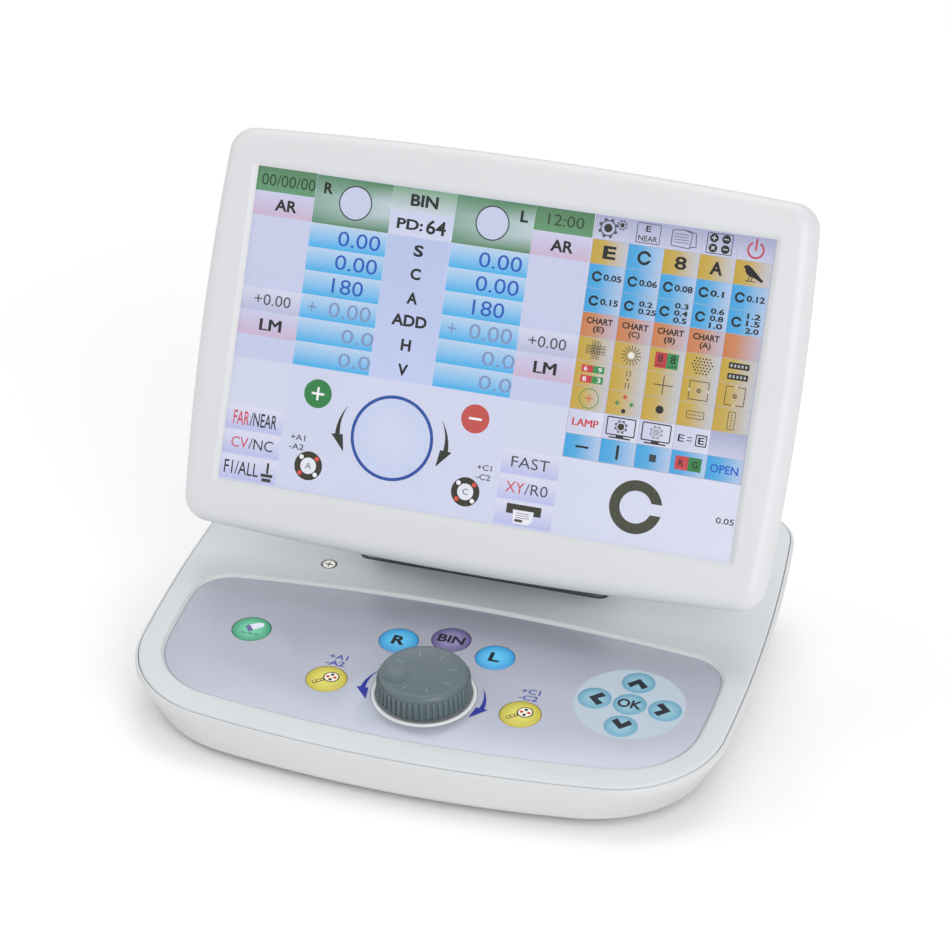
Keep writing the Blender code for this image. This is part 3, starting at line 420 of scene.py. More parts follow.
slot_edge = round_box(54.2, 80.3, 121.0, 4.0)
slot_lip = round_box(54.6, 79.9, 121.4, 4.4)
slot_cut = shell("slot_cut", [ring(PANEL, slot_edge, -10), ring(PANEL, slot_edge, 0.8),
                              ring(PANEL, slot_lip, 1.25), ring(PANEL, slot_lip, 9)])
flange_room = shell("flange_room", [ring(PANEL, round_box(60, 74, 128, 6), z) for z in (-9, -1.3)])
cover_cuts = [shell("recess_cut", recess), slot_cut, flange_room, bar(PANEL, 5.0, -8, 3),
              bar(PANEL, 3.55, COVER_TOP - 1.8, 4, COVER_SCREW), bar(PANEL, SHANK_HOLE, -8, 4, COVER_SCREW)]
cover_cuts += [bar(PANEL, 3.3, -8, 3, key[:2]) for key in KEYS.values()]
worked(top_cover, cover_cuts)
satin_moulding("grey_cover", linear(209, 212, 214), roughness=0.4).on(top_cover)
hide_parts("top_cover")
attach(top_cover, "base")


# ---------------------------------------------------------------- keypad film
# A 0.8 mm polycarbonate film with a metallic silver print on its back, glued into the cover's dish.
# Fine brushed texture, punched for the keys and the dial, with a thin rolled edge.
FILM = 0.8
film = shell("keypad_film", [ring(PANEL, crowned(FILM_EDGE, 0.1), -FILM)]
             + fillet(PANEL, FILM_EDGE, (0.0, -0.2), (0.16, 0.0), 4))
film_cuts = [bar(PANEL, radius + 0.22, -3, 3, (u, v), 72) for u, v, radius in KEYS.values()]
film_cuts.append(bar(PANEL, 21.4, -3, 3, sides=120))
worked(film, film_cuts)
silver = Finish("silver_film", Metallic=0.26, Coat_Weight=0.25, Coat_Roughness=0.3)
brush = silver.speckle(0.5, 3.0, (0.12, 1.0, 1.0))
flake = silver.speckle(0.22, 1.0)
shine = silver.speckle(45.0, 1.0)
tone = silver.blend(shine, linear(176, 180, 194), linear(184, 187, 199))
silver.set("Base Color", silver.blend(flake.above(0.62, 0.1) * 0.35, tone, linear(208, 211, 222)))
silver.set("Roughness", 0.34 + 0.12 * (brush - 0.5))
silver.rough(brush, 0.006)
silver.on(film)
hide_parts("keypad_overlay")
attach(film, "base")


# ---------------------------------------------------------------- prints on the keypad film
# Screen-printed inks on the film: a pale disc under the direction keys, two turning arrows beside
# the dial, and small blue markings above the cross-cylinder keys.
class Print:
    """Flat inked shapes in millimetres on a plane. Each layer lies a hair above the one below."""

    STEP = 0.02

    def __init__(self, place, height):
        self.place, self.height = place, height
        self.build = bmesh.new()
        self.ink = self.build.loops.layers.float_color.new("ink")

    def face(self, points, colours, layer=0):
        """One flat shape, in one colour or with a colour for each corner."""
        height = self.height + layer * self.STEP
        verts = [self.build.verts.new(self.place @ (Vector((x, y, height)) * MM)) for x, y in points]
        shape = self.build.faces.new(verts)
        if isinstance(colours[0], (int, float)):
            colours = [colours] * len(points)
        for corner, colour in zip(shape.loops, colours):
            corner[self.ink] = (*linear(*colour), 1.0)

    def cell(self, x, y, left, right=None, top=None, layer=0):
        """A box between two limits, in one colour, or passing to another at its right or its top."""
        points = [(x[0], y[0]), (x[1], y[0]), (x[1], y[1]), (x[0], y[1])]
        if top:
            colours = [left, left, top, top]
        else:
            colours = [left, right or left, right or left, left]
        self.face(points, colours, layer)

    def band(self, outer, inner, colours, layer=0):
        """A strip between two equal rows of points."""
        for i in range(len(outer) - 1):
            self.face([outer[i], outer[i + 1], inner[i + 1], inner[i]], colours, layer)

    def curve(self, at, radius, start=0.0, end=360.0, steps=48):
        """Points along a part of a circle, between two angles in degrees."""
        turns = [math.radians(start + (end - start) * i / steps) for i in range(steps + 1)]
        return [(at[0] + radius * math.cos(t), at[1] + radius * math.sin(t)) for t in turns]

    def hoop(self, at, outer, inner, colour, layer=0, start=0.0, end=360.0, steps=48):
        """A flat ring, or a part of one."""
        edges = [self.curve(at, radius, start, end, steps) for radius in (inner, outer)]
        self.band(*edges, colour, layer)

    def disc(self, at, radius, colour, layer=0, rim=None, steps=40):
        """A full disc; with a rim colour it passes from the middle outwards."""
        edge = self.curve(at, radius, steps=steps)[:-1]
        for i in range(steps):
            self.face([at, edge[i], edge[(i + 1) % steps]], [colour, rim or colour, rim or colour], layer)

    def line(self, points, width, colour, layer=0):
        """Straight strokes from point to point."""
        for a, b in zip(points, points[1:]):
            long = math.dist(a, b) or 1.0
            x, y = -(b[1] - a[1]) / long * width / 2, (b[0] - a[0]) / long * width / 2
            self.face([(a[0] - x, a[1] - y), (b[0] - x, b[1] - y), (b[0] + x, b[1] + y),
                       (a[0] + x, a[1] + y)], colour, layer)

    def frame(self, x, y, width, colour, layer=0):
        """The outline of a box between two limits."""
        corners = [(x[0], y[0]), (x[1], y[0]), (x[1], y[1]), (x[0], y[1]), (x[0], y[0])]
        self.line(corners, width, colour, layer)

    def write(self, words, x, y, colour, layer=1, weight=0.0):
        """Characters stretched to fill a box: x and y are its limits. Words with an M are made
        bold by two prints side by side, since a wider stroke would fold its inner corner."""
        if weight and "M" in words:
            bold = 0.05 * (y[1] - y[0])
            self.write(words, (x[0], x[1] - 2 * bold), y, colour, layer)
            self.write(words, (x[0] + bold, x[1] - bold), y, colour, layer + 0.3)
            x = (x[0] + 2 * bold, x[1])
            layer, weight = layer + 0.6, 0.0
        curve = bpy.data.curves.new("words", "FONT")
        curve.body = words
        curve.offset = weight
        curve.resolution_u = 3
        line = bpy.data.objects.new("words", curve)
        bpy.context.scene.collection.objects.link(line)
        bpy.context.view_layer.update()
        mesh = line.evaluated_get(bpy.context.evaluated_depsgraph_get()).to_mesh()
        spots = [(vert.co.x, vert.co.y) for vert in mesh.vertices]
        low = [min(spot[i] for spot in spots) for i in (0, 1)]
        high = [max(spot[i] for spot in spots) for i in (0, 1)]
        scale = [(limit[1] - limit[0]) / (high[i] - low[i]) for i, limit in enumerate((x, y))]
        flat = [(x[0] + (spot[0] - low[0]) * scale[0], y[0] + (spot[1] - low[1]) * scale[1])
                for spot in spots]
        for polygon in mesh.polygons:
            points = [flat[i] for i in polygon.vertices]
            if polygon.normal.z < 0:
                points.reverse()
            self.face(points, colour, layer)
        bpy.data.objects.remove(line)
        bpy.data.curves.remove(curve)

    def piece(self, name):
        """The finished print as an object, with every shape facing outward."""
        outward = self.place.to_3x3() @ Vector((0, 0, 1))
        for shape in self.build.faces:
            shape.normal_update()
            if shape.normal.dot(outward) < 0:
                shape.normal_flip()
        mesh = bpy.data.meshes.new(name)
        self.build.to_mesh(mesh)
        self.build.free()
        sheet = bpy.data.objects.new(name, mesh)
        bpy.context.scene.collection.objects.link(sheet)
        return sheet


def turning_arrow(sheet, at, side, long, colour, layer=1):
    """A crescent that swells from a fine tail to a barbed head below, bowed to one side."""
    outer, inner = [], []
    for i in range(21):
        share = i / 20
        bow = 0.215 * math.sin(math.pi / 2 * share ** 0.85)
        thick = 0.006 + 0.104 * share
        y = at[1] + long * (0.5 - 0.64 * share)
        outer.append((at[0] + side * long * bow, y))
        inner.append((at[0] + side * long * (bow - thick), y))
    head = [(at[0] + side * long * x, at[1] + long * y)
            for x, y in ((-0.02, -0.505), (0.30, -0.15), (0.215, -0.14), (0.105, -0.14), (0.04, -0.125))]
    if side > 0:
        sheet.band(inner, outer, colour, layer)
    else:
        sheet.band(outer, inner, colour, layer)
        head.reverse()
    sheet.face(head, colour, layer)


INK_BLUE = (22, 40, 156)
legends = Print(PANEL, 0.02)
legends.disc((80.4, 16.6), 22.4, (184, 198, 210), 0, steps=72)
turning_arrow(legends, (-21.7, 0.0), -1, 19.4, INK_BLUE)
turning_arrow(legends, (21.7, 0.0), 1, 19.4, INK_BLUE)
for words, x, y in (("+A1", (-44.2, -36.4), (11.6, 14.8)), ("-A2", (-44.4, -36.4), (7.4, 10.6)),
                    ("+C1", (36.8, 44.6), (11.6, 14.8)), ("-C2", (36.8, 44.6), (7.4, 10.6))):
    legends.write(words, x, y, (44, 58, 156), 1, 0.012)
film_print = legends.piece("film_print")


def inked(name):
    """Ink in the print's own colours, with the fine stipple that a screen mesh leaves."""
    finish = Finish(name, Specular_IOR_Level=0.2)
    colour = finish.node("Attribute", output="Color", attribute_name="ink")
    stipple = finish.speckle(0.12, 2.0)
    finish.set("Base Color", finish.blend(0.03 * stipple, colour, linear(255, 255, 255)))
    finish.set("Roughness", 0.4 + 0.1 * (stipple - 0.5))
    finish.rough(stipple, 0.004)
    return finish


inked("film_ink").on(film_print)
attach(film_print, "base")


# ---------------------------------------------------------------- sheets and boards inside
# Polyester dome sheet, keypad board, main board and display board: they are closed in, and seen only
# through slots. Green solder mask with copper tracks.
mask = Finish("solder_mask", Coat_Weight=0.3, Coat_Roughness=0.2)
track = mask.node("TexBrick", {"Vector": mask.place(), "Scale": 260.0, "Mortar Size": 0.03,
                               "Color1": (0.0, 0.0, 0.0), "Color2": (0.35, 0.35, 0.35),
                               "Mortar": (1.0, 1.0, 1.0)}, 1)
mask.set("Base Color", mask.blend(track, linear(16, 92, 52), linear(60, 150, 92)))
mask.set("Roughness", 0.38 + 0.1 * (mask.speckle(2.0) - 0.5))
mask.rough(track, 0.03)
mask.on(*(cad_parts[name] for name in ("keypad_board", "main_board", "display_board")))
sheet_plastic = Finish("dome_sheet_plastic", Coat_Weight=0.3)
haze = sheet_plastic.speckle(3.0, 3.0)
sheet_plastic.set("Base Color", sheet_plastic.blend(haze, linear(222, 221, 212), linear(205, 205, 196)))
sheet_plastic.set("Roughness", 0.32 + 0.1 * (haze - 0.5))
sheet_plastic.on(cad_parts["dome_sheet"])


# ---------------------------------------------------------------- encoder and its nut
# The dial turns an encoder with a plated steel can and bushing, held from above by a turned brass
# nut. Only the shaft's end and the nut could be seen, with the knob pulled off.
def plated(name, colour, roughness=0.26, brush_mm=0.25, stretch=(1, 1, 0.08)):
    """Plated metal with fine turning or brushing lines and a few duller patches."""
    finish = Finish(name, Metallic=1.0)
    lines = finish.speckle(brush_mm, 3.0, stretch)
    patch = finish.speckle(7.0, 3.0)
    finish.set("Base Color", finish.blend(0.5 * patch, colour, tuple(c * 0.82 for c in colour)))
    finish.set("Roughness", roughness + 0.18 * (lines - 0.5) + 0.08 * (patch - 0.5))
    finish.rough(lines, 0.006)
    return finish


zinc = plated("zinc_plate", linear(200, 202, 206))
zinc.on(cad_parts["encoder_body"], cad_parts["encoder_shaft"])
plated("turned_brass", linear(205, 170, 95)).on(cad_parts["encoder_nut"])


# ---------------------------------------------------------------- ring round the dial
# A white moulded collar with a flat top and rounded edges, glued over the hole in the film.
collar_profile = [(19.6, 0.2), (19.68, 0.42), (19.9, 0.52), (20.8, 0.55), (21.03, 0.45), (21.17, 0.22),
                  (21.2, 0.0), (21.2, -0.8), (19.6, -0.8)]
collar = turned("dial_collar", PANEL, collar_profile, sides=144)
satin_moulding("white_collar", linear(236, 237, 239), roughness=0.32, grain_mm=0.2).on(collar)
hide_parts("knob_ring")
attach(collar, "base")


# ---------------------------------------------------------------- dial
# A slate-grey moulded knob: flutes round its skirt for grip, a chamfer, and a shallow dish on top
# with a finger dimple and seven fine index lines. Pale bars laid in them are a painted highlight for
# the light that the lines' walls catch. It presses on to the encoder shaft.
KNOB_TOP = 11.4
FLUTES = 48
DIMPLE_AT = 204.0
DIMPLE_REACH = 10.3
knob_profile = [(0.0, 10.3), (2.9, 10.35), (8.0, 10.5), (13.0, 10.85), (14.6, 11.15), (15.3, 11.33),
                (15.8, KNOB_TOP), (16.3, 11.36), (16.8, 11.16), (17.25, 10.8), (17.6, 10.35), (17.85, 9.8),
                (18.0, 9.2), (18.05, 8.9), (18.25, 5.0), (18.5, 1.35), (18.4, 1.05), (18.1, 1.0),
                (16.6, 1.0), (16.2, 5.2), (3.35, 5.2), (3.35, 9.3), (0.0, 9.3)]
knob = turned("dial_body", PANEL, knob_profile, sides=168)
dimple_turn = math.radians(DIMPLE_AT)
dimple = Vector((DIMPLE_REACH * math.cos(dimple_turn), DIMPLE_REACH * math.sin(dimple_turn),
                 KNOB_TOP + 12.15)) * MM
ball = bmesh.new()
bmesh.ops.create_uvsphere(ball, u_segments=64, v_segments=40, radius=14.0 * MM,
                          matrix=PANEL @ Matrix.Translation(dimple))
index_turns = [PANEL @ Matrix.Rotation(math.radians(DIMPLE_AT + 45 * i), 4, "Z") for i in range(1, 8)]
grooves = [block(turn, (10.2, 13.9), (-0.14, 0.14), (10.42, 13.0)) for turn in index_turns]
worked(knob, [made("ball", ball)] + grooves)
flute_shape = bmesh.new()
RIB_POINTS = [(-0.86, -0.5), (-0.76, 0.0), (-0.5, 0.34), (0.0, 0.44), (0.5, 0.34), (0.76, 0.0),
              (0.86, -0.5)]
rows = []
for reach_mm, height in ((18.28, 8.9), (18.4, 8.6), (18.55, 6.0), (18.8, 1.6), (18.7, 1.15)):
    swell = 0.3 if height > 8.8 or height < 1.2 else 1.0
    rows.append([flute_shape.verts.new(Vector((reach_mm + across * swell, along, height)) * MM)
                 for along, across in RIB_POINTS])
for upper, lower in zip(rows, rows[1:]):
    for i in range(len(RIB_POINTS) - 1):
        flute_shape.faces.new((upper[i], lower[i], lower[i + 1], upper[i + 1]))
for corners in (rows[0], rows[-1][::-1], [row[0] for row in reversed(rows)], [row[-1] for row in rows]):
    flute_shape.faces.new(corners)
bmesh.ops.recalc_face_normals(flute_shape, faces=flute_shape.faces)
flute = made("flute", flute_shape, 60)


def round_the_axis(name, unit, count, material, place):
    """Geometry Nodes: copies of one shape stand evenly round Z, then become one plain mesh."""
    tree = bpy.data.node_groups.new(name, "GeometryNodeTree")
    shape_in = tree.interface.new_socket("Shape", in_out="INPUT", socket_type="NodeSocketObject")
    count_in = tree.interface.new_socket("Count", in_out="INPUT", socket_type="NodeSocketInt")
    tree.interface.new_socket("Geometry", in_out="OUTPUT", socket_type="NodeSocketGeometry")
    group_in, group_out = tree.nodes.new("NodeGroupInput"), tree.nodes.new("NodeGroupOutput")
    shape = tree.nodes.new("GeometryNodeObjectInfo")
    points = tree.nodes.new("GeometryNodePoints")
    stand = tree.nodes.new("GeometryNodeInstanceOnPoints")
    order = tree.nodes.new("GeometryNodeInputIndex")
    turn, angle = tree.nodes.new("ShaderNodeMath"), tree.nodes.new("ShaderNodeCombineXYZ")
    step = tree.nodes.new("ShaderNodeMath")
    step.operation, turn.operation = "DIVIDE", "MULTIPLY"
    step.inputs[0].default_value = 2 * math.pi
    solid, dress = tree.nodes.new("GeometryNodeRealizeInstances"), tree.nodes.new("GeometryNodeSetMaterial")
    dress.inputs["Material"].default_value = material
    for start, end in ((group_in.outputs["Shape"], shape.inputs["Object"]),
                       (group_in.outputs["Count"], points.inputs["Count"]),
                       (group_in.outputs["Count"], step.inputs[1]),
                       (order.outputs[0], turn.inputs[0]), (step.outputs[0], turn.inputs[1]),
                       (turn.outputs[0], angle.inputs["Z"]), (points.outputs[0], stand.inputs["Points"]),
                       (shape.outputs["Geometry"], stand.inputs["Instance"]),
                       (angle.outputs[0], stand.inputs["Rotation"]),
                       (stand.outputs[0], solid.inputs[0]), (solid.outputs[0], dress.inputs["Geometry"]),
                       (dress.outputs[0], group_out.inputs[0])):
        tree.links.new(start, end)
    piece = bpy.data.objects.new(name, bpy.data.meshes.new(name))
    bpy.context.scene.collection.objects.link(piece)
    step_in = piece.modifiers.new(name, "NODES")
    step_in.node_group = tree
    step_in[shape_in.identifier] = unit
    step_in[count_in.identifier] = count
    settle(piece)
    piece.data.transform(place)
    bpy.data.objects.remove(unit)
    return piece


slate = satin_moulding("slate_moulding", linear(95, 110, 115), 0.94, 0.36, 0.3, 0.02)
slate.on(knob)
flutes = round_the_axis("dial_flutes", flute, FLUTES, slate.material, PANEL)
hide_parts("dial_knob")
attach(knob, "dial")
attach(flutes, "dial")
# Pale bars in the seven index lines: a painted highlight, for the light that the groove walls catch.
index_lines = bmesh.new()
lie = Matrix.Translation(Vector((12.05, 0.0, 10.61)) * MM) @ Matrix.Rotation(math.radians(-5.0), 4, "Y")
size = Matrix.Diagonal((3.6 * MM, 0.3 * MM, 0.4 * MM, 1.0))
for turn in index_turns:
    bmesh.ops.create_cube(index_lines, size=1.0, matrix=turn @ lie @ size)
painted_index_highlight = made("dial_index_paint", index_lines)
satin_moulding("painted_index_highlight_finish", linear(150, 163, 168), 0.97, 0.45, 0.2, 0.004).on(painted_index_highlight)
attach(painted_index_highlight, "dial")


# ---------------------------------------------------------------- keys
# Eleven round caps, moulded in one colour and printed on top with a glow that darkens to the rim.
# Each stands a little proud of the film and clicks a metal dome under its stem.
AZURE = ((96, 200, 246), (28, 148, 214))
AMBER = ((222, 214, 92), (190, 176, 34))
TEAL = ((142, 190, 208), (86, 152, 180))
KEY_LOOKS = {"right_eye": AZURE, "left_eye": AZURE, "both_eyes": ((150, 142, 188), (82, 72, 124)),
             "erase": ((112, 204, 166), (30, 144, 98)), "cross_cylinder_left": AMBER,
             "cross_cylinder_right": AMBER}
KEY_WORDS = {"right_eye": ("R", -2.7, 2.9, -3.0, 3.0, 0.035), "left_eye": ("L", -2.4, 2.2, -3.0, 3.0, 0.035),
             "both_eyes": ("BIN", -5.6, 5.6, -2.4, 2.6, 0.03), "ok": ("OK", -5.0, 5.0, -2.6, 2.8, 0.03)}
KEY_TURNS = {"up": 0, "back": 90, "down": 180, "forward": 270}
DARK = (14, 20, 36)
WHITE = (248, 248, 252)
MARK_RED = (205, 40, 45)


def chevron(sheet, at, turn):
    """A bold arrowhead made of two strokes, pointing up before it is turned."""
    cosine, sine = math.cos(math.radians(turn)), math.sin(math.radians(turn))
    points = [(at[0] + 4.3 * (x * cosine - y * sine), at[1] + 4.3 * (x * sine + y * cosine)) for x, y in
              ((-1, -0.45), (0, 0.55), (1, -0.45), (0.55, -0.95), (0, -0.25), (-0.55, -0.95))]
    for corners in ((0, 5, 4, 1), (1, 4, 3, 2)):
        sheet.face([points[i] for i in corners], DARK, 1)


def trial_lens(sheet, at):
    """A round lens on a slanting handle, with two red and two black marks."""
    x, y = at[0] + 1.6, at[1] + 1.4
    sheet.disc((x, y), 3.3, DARK, 1)
    sheet.disc((x, y), 2.8, (250, 244, 226), 2)
    for dx, dy, colour in ((-1.5, 0, MARK_RED), (1.5, 0, MARK_RED), (0, 1.6, DARK), (0, -1.6, DARK)):
        sheet.disc((x + dx, y + dy), 0.75, colour, 3, steps=20)
    handle = [(x - 0.77 * reach, y - 0.64 * reach) for reach in (3.3, 8.2, 3.6, 7.9, 4.6, 6.4)]
    sheet.line(handle[0:2], 1.7, DARK, 1)
    sheet.line(handle[2:4], 0.9, (244, 228, 110), 2)
    for x, y in handle[4:6]:
        sheet.line([(x - 0.45, y + 0.5), (x + 0.45, y - 0.5)], 0.35, DARK, 3)


def rubber_block(sheet, at):
    """A rubber that wipes a short line: pale body, dark sleeve, three little strokes."""
    x, y = at
    body = ((-1.6, 2.4), (1.0, -0.6), (4.4, 2.6), (3.9, 4.9), (1.6, 4.6))
    sleeve = ((-2.9, 0.9), (-0.3, -2.4), (1.0, -0.6), (-1.6, 2.4))
    for corners, colour in ((body, (232, 232, 246)), (sleeve, (112, 100, 156))):
        sheet.face([(x + dx, y + dy) for dx, dy in corners], colour, 1)
    for dx in (-3.4, -0.4, 2.4):
        sheet.line([(x + dx, y - 3.3), (x + dx + 1.9, y - 3.2)], 0.5, (28, 92, 66), 1)


for key, (u, v, radius) in KEYS.items():
    middle, edge = KEY_LOOKS.get(key, TEAL)
    cap = turned(f"cap_{key}", PANEL,
                 [(0, 0.2), (radius * 0.5, 0.19), (radius - 0.9, 0.14), (radius - 0.35, 0.06),
                  (radius - 0.1, -0.03), (radius, -0.18), (radius, -0.55), (3.0, -0.55), (3.0, -2.5),
                  (0, -2.5)], (u, v), 96)
    gloss = Finish(f"cap_{key}", Coat_Weight=0.35, Coat_Roughness=0.22)
    to_middle = tuple(-c for c in PANEL @ (Vector((u, v, 0)) * MM))
    spot = gloss.node("Mapping", {"Vector": gloss.place(), "Location": to_middle})
    away = gloss.node("VectorMath", {0: spot}, 1, operation="LENGTH") / (radius * MM)
    grain = gloss.speckle(0.25, 2.0)
    gloss.set("Base Color", gloss.blend(away.above(0.25, 0.75) ** 1.6, linear(*middle), linear(*edge)))
    gloss.set("Roughness", 0.36 + 0.1 * (grain - 0.5))
    gloss.rough(grain, 0.006)
    gloss.on(cap)
    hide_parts(f"key_{key}")
    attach(cap, f"key_{key}")
    marks = Print(PANEL, 0.205)
    if key in KEY_WORDS:
        words, left, right, low, high, weight = KEY_WORDS[key]
        marks.write(words, (u + left, u + right), (v + low, v + high), DARK, 1, weight)
    elif key in KEY_TURNS:
        chevron(marks, (u, v + (0.2 if key in ("up", "down") else 0)), KEY_TURNS[key])
    elif key == "erase":
        rubber_block(marks, (u, v))
    else:
        trial_lens(marks, (u, v))
    legend = marks.piece(f"print_{key}")
    inked(f"ink_{key}").on(legend)
    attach(legend, f"key_{key}")


# ---------------------------------------------------------------- cover, base, neck and case screws
# Nickel-plated cross-head machine screws. Their heads sit in counterbores, and the drive is a plain
# cross cut 0.9 mm deep.
nickel = plated("nickel_plate", linear(196, 194, 190), 0.3, 0.3, (1, 1, 1))
nickel.on(*(node for name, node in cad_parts.items() if "_screw" in name))


# ---------------------------------------------------------------- sockets in the rear wall
# A pressed steel plate behind the wall's window carries a round power socket and two metal-shelled
# data sockets. The plate is brushed, the shells are tin-plated and the power socket is black.
brushed = plated("brushed_plate", linear(178, 180, 184), 0.32, 0.3, (0.05, 1, 1))
brushed.on(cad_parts["connector_panel"])
tin = plated("tin_plate", linear(190, 192, 196), 0.28, 1.2, (1, 1, 1))
tin.on(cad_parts["head_socket"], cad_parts["data_socket"])
satin_moulding("black_socket", linear(34, 34, 36), roughness=0.45).on(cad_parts["power_socket"])
SOCKETS = (TABLE @ Matrix.Translation(Vector((0, 154.6, 22.0)) * MM)
           @ Matrix.Rotation(math.radians(-9.5), 4, "X"))
socket_black = satin_moulding("socket_insert", linear(26, 26, 28), roughness=0.5)
PIN_SIZE = Matrix.Diagonal((0.5 * MM, 0.06 * MM, 1.6 * MM, 1.0))
PIN_PITCH = 1.5
for name, x, half, count in (("head", 2.0, 11.5, 11), ("data", -25.0, 8.2, 8)):
    tongue = block(SOCKETS, (x - half + 1.1, x + half - 1.1), (4.35, 4.52), (-3.2, 3.2), 0.05,
                   f"insert_{name}")
    socket_black.on(tongue)
    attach(tongue, "base")
    pins = bmesh.new()
    for i in range(count):
        pin_at = Vector((x + (i - (count - 1) / 2) * PIN_PITCH, 4.56, 0.6)) * MM
        bmesh.ops.create_cube(pins, size=1.0, matrix=SOCKETS @ Matrix.Translation(pin_at) @ PIN_SIZE)
    contacts = made(f"contacts_{name}", pins)
    plated(f"contact_gold_{name}", linear(214, 176, 92), 0.25).on(contacts)
    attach(contacts, "base")


# ---------------------------------------------------------------- hinge base
# A die-cast bracket under the cover, painted slate. Its plate fills the cover's slot and two towers
# on it carry the screen's shaft.
paint = Finish("slate_paint", Coat_Weight=0.1, Coat_Roughness=0.3)
orange_peel = paint.speckle(0.8, 3.0)
shade_off = paint.speckle(30.0, 1.0)
paint.set("Base Color", paint.blend(shade_off, linear(112, 122, 130), linear(102, 112, 120)))
paint.set("Roughness", 0.42 + 0.12 * (orange_peel - 0.5))
paint.rough(orange_peel, 0.02)
paint.on(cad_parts["hinge_base"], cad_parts["screen_neck"])
zinc.on(*(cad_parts[name] for name in ("tilt_shaft", "friction_washer_left", "friction_washer_right",
                                            "shaft_nut_left", "shaft_nut_right")))


# ---------------------------------------------------------------- screen's front frame
# The white front half of the screen's case. Its outer edge rolls back to the parting line, and a
# flat bevel leads down to the picture all round.
SCREEN = (PANEL @ Matrix.Translation(Vector((0, 62.7, 42.7)) * MM)
          @ Matrix.Rotation(math.radians(60.8), 4, "X"))
CASE_EDGE = dict(half=125.7, side_r=1110, side_at=62, front=-22.5, front_r=1910, front_corner=11,
                 rear=148.7, rear_r=2010, rear_corner=11)
PICTURE = (217.0, 130.2)
PARTING = -8.0


def window(half, low, high, corner):
    """A nearly square-cornered edge with as many points as the case's."""
    return dict(half=half, side_r=60000, side_at=(low + high) / 2, front=low, front_r=60000,
                front_corner=corner, rear=high, rear_r=60000, rear_corner=corner)


def framed(edge, inset, height, least=0.3):
    """A ring on the screen's plane, with a least corner radius."""
    return ring(SCREEN, crowned(edge, inset, least), height)


sight = window(PICTURE[0] / 2, 0.0, PICTURE[1], 0.4)
pocket = window(PICTURE[0] / 2 + 6.2, -6.2, PICTURE[1] + 6.2, 1.0)
roll = []
for i in range(11):
    turn = math.pi / 2 * i / 10
    roll.append(framed(CASE_EDGE, 6.8 * (1 - math.sin(turn)), -4.4 + 6.2 * math.cos(turn), 3.0))
frame_rings = [framed(sight, inset, height) for inset, height in
               ((-0.25, 0.3), (-0.25, 0.42), (-0.38, 0.56), (-2.15, 1.62), (-2.5, 1.78), (-2.9, 1.8))] + roll
frame_rings += [framed(CASE_EDGE, inset, height, 3.0) for inset, height in
                ((0.0, PARTING + 0.35), (0.25, PARTING), (2.4, PARTING), (2.8, -3.4), (5.2, -1.0))]
frame_rings += [framed(pocket, 0.0, -1.0), framed(pocket, 0.0, 0.3)]
front_frame = shell("screen_frame", frame_rings, closed=True)
CASE_SCREWS = ((-80, -12.4), (80, -12.4), (-80, 139.5), (80, 139.5))
worked(front_frame, [bar(SCREEN, SHANK_HOLE, -30, -5.5, at) for at in CASE_SCREWS],
       [bar(SCREEN, 2.8, -12.5, -0.6, at) for at in CASE_SCREWS])
satin_moulding("white_screen_frame", linear(213, 214, 216), roughness=0.38).on(front_frame)
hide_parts("screen_bezel")
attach(front_frame, "screen")


# ---------------------------------------------------------------- touch glass and display
# A 1.1 mm touch glass, bonded over the display. The display is lit from behind; its picture is made of
# flat cells and strokes that glow in their own colours, crossed by the fine lines of its columns.
glass = Finish("touch_glass", Transmission_Weight=1.0, IOR=1.45, Specular_IOR_Level=0.1)
smear = glass.speckle(18.0, 4.0)
glass.set("Roughness", 0.012 * smear)
glass.set("Base Color", glass.blend(smear, (1.0, 1.0, 1.0), (0.975, 0.985, 0.99)))
glass.on(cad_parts["touch_glass"])
panel_metal = Finish("display_can", Metallic=0.8)
can = panel_metal.speckle(0.6, 3.0, (0.1, 1, 1))
panel_metal.set("Base Color", panel_metal.blend(can, linear(120, 122, 130), linear(150, 152, 160)))
panel_metal.set("Roughness", 0.3 + 0.15 * (can - 0.5))
panel_metal.on(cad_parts["lcd_panel"])

LAVENDER = (214, 218, 241)
PALE_BLUE = (206, 212, 238)
DULL_GREEN = (86, 136, 98)
PALE_GREEN = (192, 208, 214)
MIDDLE_GREEN = (100, 148, 118)
SLATE_INK = (36, 40, 40)
BLUE_INK = (40, 92, 190)
GREY_BLUE = (132, 152, 196)
RED_INK = (208, 78, 84)
GREY_INK = (74, 76, 86)
ARROW_INK = (52, 54, 48)
CHART_INK = (32, 34, 32)
picture = Print(SCREEN, -1.36)
cell, disc, hoop = picture.cell, picture.disc, picture.hoop
line, write = picture.line, picture.write


def around(at, across, tall):
    """The limits of a box about a point, from its half width and half height."""
    return (at[0] - across, at[0] + across), (at[1] - tall, at[1] + tall)


def stroke(at, across, tall, width, colour, layer=3):
    """A straight stroke with a point at its middle."""
    line([(at[0] - across, at[1] - tall), (at[0] + across, at[1] + tall)], width, colour, layer)


def landolt(at, outer, inner, gap, colour, layer=3):
    """A ring with a straight-sided gap on its right."""
    open_out, open_in = (math.degrees(math.asin(gap / r)) for r in (outer, inner))
    outer_line = picture.curve(at, outer, open_out, 360 - open_out, 56)
    inner_line = picture.curve(at, inner, open_in, 360 - open_in, 56)
    picture.band(inner_line, outer_line, colour, layer)


def gear(at, radius, hub, colour, fill):
    """A wheel with eight teeth and a filled hub."""
    hoop(at, radius * 0.80, radius * 0.68, colour, 4, steps=32)
    for i in range(8):
        turn = math.radians(45 * (i + 0.5))
        root, tip = ((at[0] + reach * math.cos(turn), at[1] + reach * math.sin(turn))
                     for reach in (0.72 * radius, radius))
        line([root, tip], radius * 0.3, colour, 4)
    disc(at, hub, fill, 5)


def two_fields(x, y, half, red, green):
    """A red field and a green one, side by side."""
    cell((x - half, x), y, red, layer=3)
    cell((x, x + half), y, green, layer=3)


